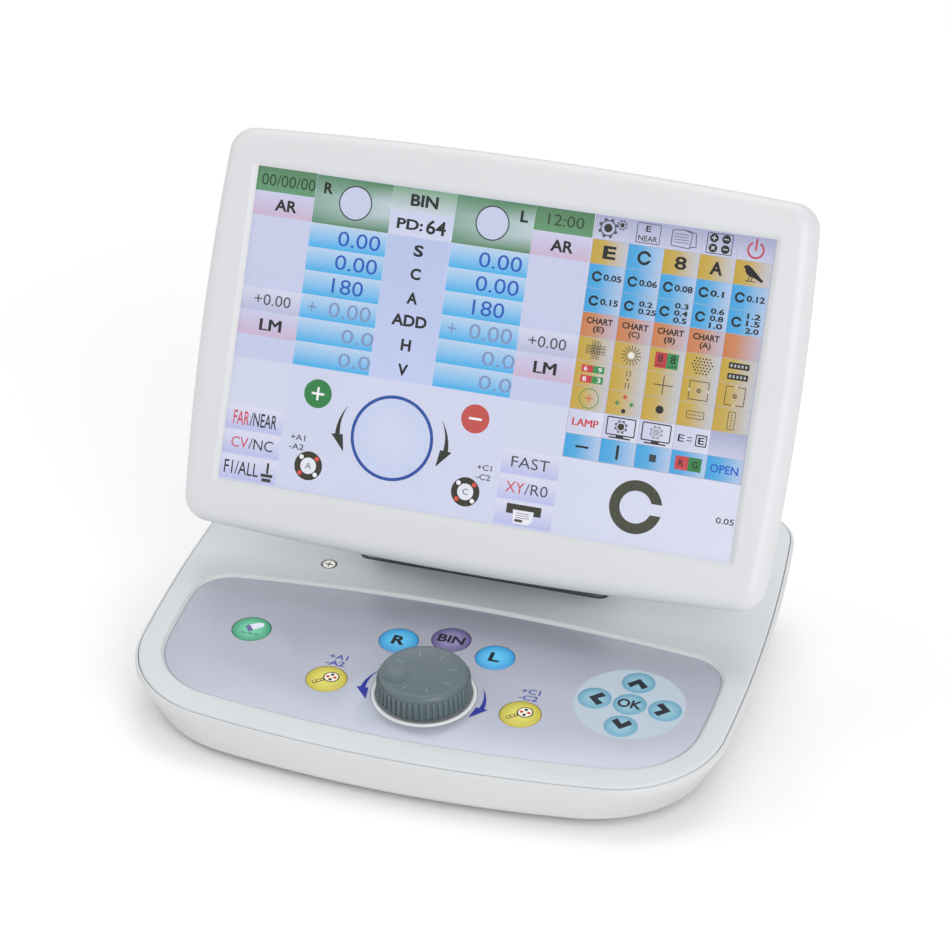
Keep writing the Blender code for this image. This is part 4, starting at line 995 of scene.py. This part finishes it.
# ground, heading with the pupil circles, side columns and stacked buttons
cell((-109.6, 10.0), (-0.4, 130.6), (211, 216, 240), LAVENDER)
cell((10.0, 109.2), (-0.4, 130.6), LAVENDER, (224, 227, 245))
for left, right, circle_x in ((-83.5, -50.5, -65.8), (-23.5, 9.6, -7.5)):
    for low, high, a, b in ((110.4, 117.5, DULL_GREEN, PALE_GREEN), (117.5, 122.5, PALE_GREEN, PALE_GREEN),
                            (122.5, 130.1, PALE_GREEN, DULL_GREEN)):
        near, far = (tuple((p + q) / 2 for p, q in zip(tone, MIDDLE_GREEN)) for tone in (a, b))
        picture.face([(left, low), (right, low), (right, high), (left, high)], [near, a, b, far], 1)
    disc((circle_x, 120.5), 6.8, (204, 210, 236), 2)
    hoop((circle_x, 120.5), 7.1, 6.6, (40, 46, 44), 3)
for x, y, colour, top in (((-83.5, -50.5), (51.3, 110.2), PALE_BLUE, PALE_BLUE),
                          ((-23.5, 9.6), (51.3, 110.2), PALE_BLUE, PALE_BLUE),
                          ((-109.6, -83.6), (120.4, 130.6), (104, 158, 120), (92, 138, 100)),
                          ((9.7, 34.2), (120.4, 130.1), (104, 156, 116), (88, 132, 96)),
                          ((-50.4, -23.6), (120.4, 130.1), (206, 214, 226), (128, 170, 140)),
                          ((-50.2, -23.8), (110.5, 120.3), (212, 216, 240), PALE_BLUE),
                          ((-50.4, -23.6), (51.4, 110.3), (198, 207, 243), (189, 200, 236))):
    cell(x, y, colour, top=top, layer=1)
for x, lead, button in (((-109.6, -83.6), -100.0, (-109.6, -84.3)), ((9.7, 34.2), 17.6, (9.9, 34.1))):
    cell(x, (51.3, 120.2), (202, 208, 237), top=(206, 209, 236), layer=1)
    for words, low in (("AR", 110.5), ("LM", 61.0)):
        cell(x, (low, low + 9.6), (208, 184, 212), top=(208, 208, 237), layer=2)
        write(words, (lead, lead + 9.6), (low + 2.4, low + 7.2), SLATE_INK, 3, 0.03)
    cell(x, (71.2, 80.6), (190, 192, 222), top=(218, 220, 240), layer=2)
    write("+0.00", (lead - 3.6, lead + 12.2), (73.8, 78.4), (72, 74, 80), 3)
    cell(x, (31.4, 51.2), (214, 218, 240), layer=1)
    for low, high in ((21.3, 31.2), (11.0, 20.7), (0.5, 10.3)):
        cell(button, (low, high), (192, 196, 238), top=(224, 224, 242), layer=2)

# words of the heading, the buttons and the lower part, each with its limits, ink, layer and weight
LABELS = (
    ("00/00/00", (-107.0, -83.8), (122.8, 127.6), (44, 66, 50), 2),
    ("R", (-79.9, -76.0), (122.8, 127.4), SLATE_INK, 2, 0.035),
    ("L", (3.7, 7.0), (122.6, 127.3), SLATE_INK, 2, 0.035),
    ("12:00", (15.2, 30.2), (123.2, 127.8), (50, 70, 54), 2),
    ("BIN", (-42.7, -31.0), (122.8, 127.7), SLATE_INK, 2, 0.035),
    ("PD:", (-47.3, -36.2), (113.0, 117.4), SLATE_INK, 2, 0.03),
    ("64", (-34.8, -26.4), (112.3, 118.3), (36, 38, 38), 2, 0.02),
    ("+A1", (-80.2, -73.9), (20.7, 23.1), (66, 68, 78), 2, 0.01),
    ("-A2", (-80.4, -74.0), (16.8, 19.2), (66, 68, 78), 2, 0.01),
    ("+C1", (0.2, 6.3), (20.7, 23.1), (66, 68, 78), 2, 0.01),
    ("-C2", (0.2, 6.3), (16.8, 19.2), (66, 68, 78), 2, 0.01),
    ("FAR", (-105.9, -98.9), (23.3, 29.1), RED_INK, 3, 0.01),
    ("/NEAR", (-98.6, -86.9), (23.3, 29.1), SLATE_INK, 3, 0.01),
    ("CV", (-105.5, -98.2), (13.8, 18.2), RED_INK, 3),
    ("/NC", (-97.9, -87.3), (13.8, 18.2), SLATE_INK, 3),
    ("F1/ALL", (-107.2, -92.2), (2.6, 8.2), SLATE_INK, 3, 0.005),
    ("FAST", (14.0, 30.0), (24.2, 28.7), GREY_INK, 3),
    ("XY", (13.0, 20.8), (13.8, 18.3), RED_INK, 3),
    ("/R0", (21.1, 30.7), (13.8, 18.3), GREY_INK, 3),
    ("0.05", (100.4, 107.8), (15.0, 17.5), (70, 72, 66), 2, 0.015),
)
for label in LABELS:
    write(*label)
for word, y, wide in (("S", 105.0, 4.1), ("C", 95.5, 4.4), ("A", 85.6, 4.6), ("ADD", 76.3, 15.0),
                      ("H", 66.3, 4.2), ("V", 56.1, 4.4)):
    write(word, *around((-36.6, y), wide / 2, 2.4), SLATE_INK, 2, 0.035)

# six readings for each eye
READINGS = ((100.5, "0.00", 6.2, 18.1), (90.8, "0.00", 6.2, 18.1), (81.0, "180", 6.2, 13.4),
            (71.2, "0.00", 6.2, 18.1), (61.4, "0.0", 5.7, 13.9), (51.6, "0.0", 5.7, 13.9))
for left in (-83.6, -23.4):
    for i, (low, words, tall, wide) in enumerate(READINGS):
        cell((left, left + 33.0), (low, low + 9.5), (70, 180, 238), top=(190, 214, 240), layer=2)
        ink_colour = BLUE_INK if i < 3 else GREY_BLUE
        start = left + (12.4 if i < 4 else 19.2)
        write(words, (start, start + wide), (low + 1.8, low + 1.8 + tall), ink_colour, 3)
        if i == 3:
            write("+", (left + 3.2, left + 7.0), (low + 3.0, low + 6.8), ink_colour, 3)

# plus and minus buttons, the large ring, turning arrows and the two cross-cylinder rings
disc((-71.0, 41.0), 5.95, (50, 132, 72), 2)
disc((-3.4, 41.0), 5.95, (200, 84, 78), 2)
stroke((-71.0, 41.0), 0, 2.7, 0.95, WHITE)
for x in (-71.0, -3.4):
    stroke((x, 41.0), 2.7, 0, 0.95, WHITE)
disc((-37.2, 27.7), 16.4, (214, 220, 243), 2, (204, 213, 241), 72)
hoop((-37.2, 27.7), 17.6, 16.25, (44, 82, 164), 3, steps=96)
turning_arrow(picture, (-57.4, 28.6), -1, 19.0, ARROW_INK, 2)
turning_arrow(picture, (-17.0, 28.6), 1, 19.0, ARROW_INK, 2)
for x, y, word in ((-71.1, 10.9, "A"), (-3.4, 10.9, "C")):
    hoop((x, y), 6.0, 3.4, (58, 54, 44), 2)
    disc((x, y), 3.4, (232, 234, 244), 2)
    write(word, (x - 1.2, x + 1.2), (y - 1.1, y + 1.3), (70, 70, 76), 3)
    for i, colour in enumerate(((226, 84, 70), WHITE, (226, 84, 70), WHITE)):
        turn = math.radians(45 + 90 * i)
        disc((x + 4.7 * math.cos(turn), y + 4.7 * math.sin(turn)), 0.95, colour, 3, steps=20)

# small pictures on the lowest buttons, and the large open ring
for at, across, tall, width in (((-88.3, 7.0), 0, 2.2, 1.0), ((-88.4, 3.9), 2.6, 0, 1.3),
                                ((-88.35, 2.0), 1.95, 0, 1.4)):
    stroke(at, across, tall, width, (62, 62, 58))
cell((14.6, 29.2), (5.4, 9.4), (62, 60, 50), layer=3)
picture.face([(18.0, 1.5), (24.4, 1.5), (25.9, 3.2), (26.2, 7.1), (17.4, 7.1)], (238, 238, 246), 4)
for y in (5.9, 5.0, 4.1):
    stroke((21.75, y), 2.85, 0, 0.3, (150, 150, 160), 5)
cell((18.6, 21.9), (2.3, 3.4), (70, 72, 58), layer=5)
landolt((67.4, 16.1), 10.9, 6.6, 2.3, (74, 76, 62), 2)

# the chart buttons: five columns and ten rows
COLUMNS = (34.7, 49.5, 64.1, 78.7, 93.3, 108.2)
LINES = (130.1, 120.3, 110.4, 100.5, 90.8, 81.0, 71.2, 61.3, 51.5, 41.5, 31.8)
YELLOW, SKY, ORANGE, COOL, PALE_COOL = ((202, 166, 62), (66, 166, 226), (208, 128, 78), (172, 176, 208),
                                        (208, 210, 234))
FADES = {YELLOW: (200, 202, 214), SKY: (184, 204, 234), ORANGE: (196, 188, 206), PALE_COOL: (222, 224, 242)}
ROW_TONES = ((COOL,) * 5, (YELLOW, SKY, YELLOW, YELLOW, YELLOW), (SKY,) * 5, (SKY,) * 5, (ORANGE,) * 5,
             (YELLOW,) * 5, (YELLOW,) * 5, (YELLOW,) * 5, (PALE_COOL,) * 4 + (COOL,), (SKY,) * 5)
cell((34.5, 108.4), (31.6, 130.1), (176, 178, 200), layer=1)
for r, tones in enumerate(ROW_TONES):
    for c, shade in enumerate(tones):
        x, y = (COLUMNS[c] + 0.1, COLUMNS[c + 1] - 0.1), (LINES[r + 1] + 0.1, LINES[r] - 0.1)
        if shade is COOL:
            cell(x, y, (204, 206, 230), top=COOL, layer=2)
            continue
        third = x[0] + 0.35 * (x[1] - x[0])
        softer = tuple(0.8 * a + 0.2 * b for a, b in zip(shade, FADES[shade]))
        cell((x[0], third), y, shade, softer, layer=2)
        cell((third, x[1]), y, softer, FADES[shade], layer=2)
middle = [(a + b) / 2 for a, b in zip(COLUMNS, COLUMNS[1:])]
rows = [(a + b) / 2 for a, b in zip(LINES, LINES[1:])]

# first row: gears, chart sheet, book, signs and a switch
WHEEL = (84, 82, 92)
SWITCH_RED = (196, 62, 74)
gear((40.2, 125.2), 4.1, 1.7, WHEEL, (54, 50, 44))
gear((45.8, 127.1), 2.1, 0.9, WHEEL, (54, 50, 44))
picture.frame((52.0, 61.6), (121.4, 129.2), 0.35, (92, 94, 116), 3)
write("E", (55.6, 57.7), (125.9, 128.4), CHART_INK, 3, 0.02)
write("NEAR", (52.8, 60.7), (122.1, 124.3), CHART_INK, 3, 0.01)
for points in ([(66.4, 122.0), (66.4, 128.2), (71.2, 128.8), (74.6, 127.6), (74.0, 121.6), (66.4, 122.0)],
               [(70.6, 128.9), (76.0, 128.0), (76.6, 122.6), (74.2, 122.2)]):
    line(points, 0.35, (84, 86, 106), 3)
for y in (126.8, 125.7, 124.6, 123.5):
    line([(67.4, y), (73.2, y + 0.1)], 0.28, (110, 112, 130), 3)
picture.frame((80.8, 91.0), (121.2, 129.2), 0.35, (78, 82, 104), 3)
for x, y, strokes in ((83.4, 127.3, ((0.95, 0), (0, 0.95))), (88.4, 127.3, ((0.95, 0),)),
                      (83.4, 123.3, ((0.665, 0.665), (0.665, -0.665))), (88.4, 123.3, ((0.95, 0),))):
    disc((x, y), 1.75, (42, 42, 40), 3, steps=28)
    for across, tall in strokes:
        stroke((x, y), across, tall, 0.42, (214, 216, 226), 4)
hoop((100.6, 124.8), 3.5, 2.75, SWITCH_RED, 3, 118, 422)
stroke((100.6, 127.0), 0, 2.4, 0.75, SWITCH_RED, 4)

# second row: the kinds of chart, with a small animal for children
for word, c, wide, bold in (("E", 0, 5.3, 0.035), ("8", 2, 4.8, 0.02), ("A", 3, 5.2, 0.035)):
    write(word, *around((middle[c], 115.45), wide / 2, 2.65), CHART_INK, 3, bold)
landolt((middle[1] - 0.3, 115.4), 2.85, 1.75, 0.75, CHART_INK)
back_line = [(96.6, 117.6), (97.6, 118.6), (98.8, 118.5), (100.2, 117.6), (101.6, 116.4), (103.2, 114.9),
             (105.4, 112.9)]
belly_line = [(96.6, 117.6), (97.5, 117.0), (97.7, 115.9), (98.6, 114.7), (100.2, 114.0), (101.8, 113.7),
              (104.6, 112.3)]
picture.band(back_line, belly_line, CHART_INK, 3)
for x in (99.6, 100.8):
    line([(x, 114.3), (x - 0.5, 112.4), (x - 1.1, 112.2)], 0.35, CHART_INK, 4)
stroke((100.2, 112.3), 2.2, 0, 0.3, CHART_INK, 5)

# third to fifth row: sharpness values beside open rings, and the full charts
ACUITY = ((("0.05",), ("0.06",), ("0.08",), ("0.1",), ("0.12",)),
          (("0.15",), ("0.2", "0.25"), ("0.3", "0.4", "0.5"), ("0.6", "0.8", "1.0"), ("1.2", "1.5", "2.0")))
for r, values in enumerate(ACUITY, start=2):
    for c, lines in enumerate(values):
        landolt((middle[c] - 3.7, rows[r]), 2.1, 1.2, 0.6, CHART_INK)
        shift, tall = (-1.0, 1.3) if len(lines) == 1 else (0.2, 1.15)
        x = middle[c] + shift
        for i, words in enumerate(lines):
            y = rows[r] + (len(lines) - 1) * 1.45 - i * 2.9
            write(words, (x, x + 1.85 * len(words)), (y - tall, y + tall), CHART_INK, 3, 0.03)
for c, word in enumerate(("(E)", "(C)", "(8)", "(A)")):
    write("CHART", *around((middle[c], 87.7), 5.4, 1.3), CHART_INK, 3, 0.03)
    write(word, *around((middle[c], 84.2), 2.3, 1.5), CHART_INK, 3, 0.025)

# sixth row: grid, sun dial, digits on red and green, dots, and bars
x, y = middle[0], rows[5]
for i in range(6):
    shift, tilt = (i - 2.5) * 0.62, 0.1 * (i % 2)
    stroke((x, y + shift + tilt), 4.1, tilt, 0.22, CHART_INK)
    stroke((x + shift + tilt, y), tilt, 3.8, 0.22, CHART_INK)
x = middle[1]
for i in range(16):
    cosine, sine = math.cos(math.pi * i / 8), math.sin(math.pi * i / 8)
    line([(x + 1.7 * cosine, y + 1.7 * sine), (x + 4.1 * cosine, y + 4.1 * sine)], 0.28, CHART_INK, 3)
disc((x, y), 1.3, (238, 238, 232), 3)
x = middle[2]
two_fields(x, (y - 3.1, y + 3.1), 4.8, (196, 62, 70), (62, 142, 84))
for side in (-2.6, 2.6):
    write("8", (x + side - 1.1, x + side + 1.1), (y - 0.9, y + 2.4), (42, 46, 44), 4, 0.01)
    for i in (-1, 0, 1):
        disc((x + side + 1.1 * i, y - 2.1), 0.32, (42, 46, 44), 4, steps=10)
x = middle[3]
for r in range(6):
    for c in range(-3, 4):
        dx, dy = c * 1.35 + (0.68 if r % 2 else 0), 3.0 - r * 1.2
        if math.hypot(dx, dy) < 4.2:
            disc((x + dx, y + dy), 0.36, CHART_INK, 3, steps=10)
x = middle[4]
for low in (y - 3.4, y + 0.9):
    cell((x - 4.2, x + 4.2), (low, low + 2.5), (44, 44, 42), layer=3)
    for i in range(5):
        left = x - 3.5 + 1.5 * i
        cell((left, left + 0.8), (low + 0.7, low + 1.8), (186, 188, 190), layer=4)

# seventh row: four digits, split lines, a cross, and frames with pale marks
y = rows[6]
x = middle[0]
for low, words in ((y + 0.6, ("6", "9")), (y - 3.6, ("8", "3"))):
    two_fields(x, (low, low + 2.9), 4.7, (202, 66, 72), (62, 146, 84))
    for side, word in zip((-3.0, 3.0), words):
        write(word, *around((x + side, low + 1.45), 0.75, 0.95), WHITE, 4, 0.01)
x = middle[1]
for dx in (-0.7, 0.7):
    for dy in (2.4, -2.4):
        stroke((x + dx, y + dy), 0, 1.2, 0.32, CHART_INK)
disc((x, y), 0.4, CHART_INK, 3, steps=12)
stroke((middle[2], y), 4.0, 0, 0.4, (84, 74, 60))
stroke((middle[2], y), 0, 3.9, 0.4, (84, 74, 60), 4)
for x, aside, above, across, tall in ((middle[3], 3.9, 0, 0.4, 0.6), (middle[4], 0, 3.705, 0.6, 0.4)):
    picture.frame((x - 3.9, x + 3.9), (y - 3.7, y + 3.7), 0.36, (92, 84, 66), 3)
    for way in (-1, 1):
        pale = around((x + way * aside, y + way * above), across, tall)
        cell(*pale, (216, 206, 184), layer=4)
    hoop((x, y), 0.85, 0.4, CHART_INK, 3, steps=16)

# eighth row: a ringed cross, crosses with a dot, a spot, and frames with dots
TARGET_GREEN, TARGET_RED = (70, 146, 84), (216, 92, 66)
y = rows[7]
x = middle[0]
hoop((x, y), 4.1, 3.75, TARGET_GREEN, 3)
stroke((x, y), 1.6, 0, 0.45, TARGET_RED)
stroke((x, y), 0, 1.6, 0.45, TARGET_RED, 4)
x = middle[1]
for dx, dy, colour in ((0, 2.8, (206, 84, 66)), (-3.0, 0.1, TARGET_GREEN), (3.0, 0.1, TARGET_GREEN)):
    stroke((x + dx, y + dy), 0.9, 0, 0.75, colour)
    stroke((x + dx, y + dy), 0, 0.9, 0.75, colour, 4)
disc((x, y - 2.9), 0.9, CHART_INK, 3, steps=20)
disc((middle[2], y), 1.65, (44, 44, 40), 3)
for x, across, tall, dx, dy in ((middle[3], 3.5, 1.4, 1.15, 0), (middle[4], 1.4, 3.5, 0, 1.15)):
    picture.frame(*around((x, y), across, tall), 0.3, (96, 88, 70), 3)
    for i in range(-2, 3):
        disc((x + i * dx, y + i * dy), 0.3, (110, 84, 60), 3, steps=10)

# ninth row: lamp, two screens with a gear, and a letter that is seen double
y = rows[8]
write("LAMP", (middle[0] - 5.5, middle[0] + 5.5), (y - 1.6, y + 1.5), (208, 70, 80), 3, 0.015)
for x, wheel, tone in ((middle[1], (96, 96, 104), (62, 60, 52)),
                       (middle[2], (150, 150, 160), (176, 176, 186))):
    picture.frame((x - 5.8, x + 5.8), (y - 2.9, y + 4.1), 0.5, (50, 50, 52), 3)
    cell((x - 4.4, x + 4.4), (y - 4.3, y - 3.7), (50, 50, 52), layer=3)
    cell((x - 1.6, x + 1.6), (y - 3.8, y - 3.0), (50, 50, 52), layer=3)
    gear((x, y + 0.6), 2.8, 1.4, wheel, tone)
x = middle[3]
write("E", (x - 5.6, x - 3.0), (y - 1.4, y + 1.5), CHART_INK, 3, 0.01)
for dy in (-0.6, 0.7):
    stroke((x - 0.85, y + dy), 1.05, 0, 0.35, CHART_INK)
picture.frame((x + 1.8, x + 6.0), (y - 2.2, y + 2.2), 0.45, CHART_INK, 3)
write("E", (x + 2.7, x + 5.2), (y - 1.4, y + 1.4), CHART_INK, 3, 0.02)

# last row: bars, a spot, red and green letters
y = rows[9]
stroke((middle[0], y), 2.7, 0, 0.9, CHART_INK)
stroke((middle[1], y), 0, 2.9, 1.1, CHART_INK)
cell(*around((middle[2], y), 1.4, 1.5), (60, 70, 70), layer=3)
x = middle[3]
two_fields(x, (y - 2.8, y + 2.8), 5.4, (202, 78, 82), (56, 132, 76))
write("R", (x - 4.0, x - 1.8), (y - 1.4, y + 1.4), (80, 20, 26), 4, 0.02)
write("G", (x + 1.6, x + 4.0), (y - 1.4, y + 1.4), (14, 44, 26), 4, 0.02)
write("OPEN", *around((middle[4], y), 5.8, 1.7), (40, 96, 204), 3, 0.02)

lit_picture = picture.piece("lit_picture")
glow = Finish("display_glow", Specular_IOR_Level=0.0, Roughness=1.0)
colour = glow.node("Attribute", output="Color", attribute_name="ink")
columns = glow.node("TexWave", {"Vector": glow.place(), "Scale": 349.0, "Distortion": 0.0}, 1,
                    wave_type="BANDS", bands_direction="X")
cloud = glow.speckle(26.0, 3.0)
dim = glow.blend(0.13 * columns + 0.05 * cloud, colour, (0.0, 0.0, 0.0))
dim = glow.node("VectorMath", {0: dim, 1: (0.015, 0.015, 0.015)}, operation="SUBTRACT")
dim = glow.node("VectorMath", {0: dim, 1: (0.0, 0.0, 0.0)}, operation="MAXIMUM")
glow.set("Base Color", glow.blend(0.75, dim, (0.0, 0.0, 0.0)))
glow.set("Emission Color", dim)
glow.set("Emission Strength", 0.93)
glow.on(lit_picture)
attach(lit_picture, "screen")


# ---------------------------------------------------------------- screen's rear cover
# The white back half of the case, held by four long screws in deep pockets. A row of vents is cut
# through it above the hinge's pad.
BACK = -26.0
VENT_PITCH = 9.0
rear_rings = [framed(CASE_EDGE, inset, height, least) for inset, height, least in
              ((15.5, BACK + 2.5, 5.0), (11.5, BACK + 3.6, 5.0), (7.6, BACK + 6.4, 4.0), (4.7, -15.6, 3.0),
               (2.9, -11.4, 3.0), (2.4, PARTING - 0.3, 3.0), (0.25, PARTING - 0.3, 3.0),
               (0.0, PARTING - 0.65, 3.0))]
for i in range(1, 15):
    turn = math.pi / 2 * i / 14
    inset = 15.5 * (1 - math.cos(turn)) ** 1.15
    rear_rings.append(framed(CASE_EDGE, inset, -9.5 - 16.5 * math.sin(turn) ** 1.1, 3.0))
rear_cover = shell("screen_back", rear_rings)
back_cuts, back_joins = [], []
for x, y in CASE_SCREWS:
    inward = math.copysign(1.0, -y)
    low, high = sorted((y + inward * 0.41, y + inward * 5.13))
    back_joins.append(block(SCREEN, (x - 4.15, x + 4.15), (low, high), (-22.87, -13.63)))
    back_joins.append(bar(SCREEN, 4.6, -18.3, -13, (x, y)))
    back_cuts.append(bar(SCREEN, 3.7, -40, -18.0, (x, y)))
    back_cuts.append(bar(SCREEN, SHANK_HOLE, -40, -10, (x, y)))
back_cuts += [bar(SCREEN, SHANK_HOLE, -40, -10, (x, y)) for x in (-19, 19) for y in (14, 27)]
for i in range(9):
    place = SCREEN @ Matrix.Translation(((i - 4) * VENT_PITCH * MM, 0, 0))
    narrow, wide = round_box(1.3, 100, 118, 1.25, 6), round_box(1.7, 99.6, 118.4, 1.65, 6)
    back_cuts.append(shell("vent", [ring(place, points, height) for points, height in
                                    ((wide, -30), (wide, -25.95), (narrow, -25.5), (narrow, -18))]))
worked(rear_cover, back_cuts, back_joins)
satin_moulding("white_screen_back", linear(212, 213, 215), roughness=0.45, grain_mm=0.5,
               depth_mm=0.03).on(rear_cover)
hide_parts("screen_rear_cover")
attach(rear_cover, "screen")


# ---------------------------------------------------------------- camera, floor and lights
# A long lens above and to the right of the console, a pale studio floor, and large soft lamps.
LENS_MM, SENSOR_MM = 120.08, 36.0
EYE_MM = (310.3, -949.9, 779.8)
azimuth, lift, lean = (math.radians(angle) for angle in (16.898, 34.029, -0.288))
back = Vector((math.sin(azimuth) * math.cos(lift), -math.cos(azimuth) * math.cos(lift), math.sin(lift)))
side = Vector((math.cos(azimuth), math.sin(azimuth), 0.0))
rise = back.cross(side)
across = math.cos(lean) * side + math.sin(lean) * rise
upward = math.cos(lean) * rise - math.sin(lean) * side
pose = Matrix((across, upward, back)).transposed().to_4x4()
lens = bpy.data.cameras.new("camera")
lens.lens, lens.sensor_width = LENS_MM, SENSOR_MM
camera = bpy.data.objects.new("camera", lens)
camera.matrix_world = PANEL @ Matrix.Translation(Vector(EYE_MM) * MM) @ pose
bpy.context.scene.collection.objects.link(camera)
bpy.context.scene.camera = camera
bpy.context.scene.view_settings.view_transform = "Standard"

ground = bmesh.new()
bmesh.ops.create_grid(ground, x_segments=1, y_segments=1, size=6.0)
floor = made("studio_floor", ground)
paper = Finish("studio_paper", Roughness=0.9)
paper.set("Base Color", paper.blend(paper.speckle(400.0), (0.94, 0.94, 0.94), (0.92, 0.92, 0.925)))
paper.on(floor)
world = bpy.data.worlds.new("studio")
bpy.context.scene.world = world
world.use_nodes = True
backdrop = world.node_tree.nodes["Background"].inputs
backdrop["Color"].default_value = (0.985, 0.992, 1.0, 1.0)
backdrop["Strength"].default_value = 0.68
AIM = Vector((0, 0, 0.08))
LAMPS = (("front_lamp", (1.15, -1.35, 0.8), 1.2, 15.0), ("side_lamp", (-1.5, -0.4, 1.0), 1.2, 5.0),
         ("top_lamp", (-0.1, 0.9, 1.8), 1.5, 13.0))
for name, at, metres, watts in LAMPS:
    lamp = bpy.data.lights.new(name, "AREA")
    lamp.shape, lamp.size, lamp.energy = "SQUARE", metres, watts
    stand = bpy.data.objects.new(name, lamp)
    stand.location = at
    stand.rotation_euler = (Vector(at) - AIM).to_track_quat("Z", "Y").to_euler()
    bpy.context.scene.collection.objects.link(stand)
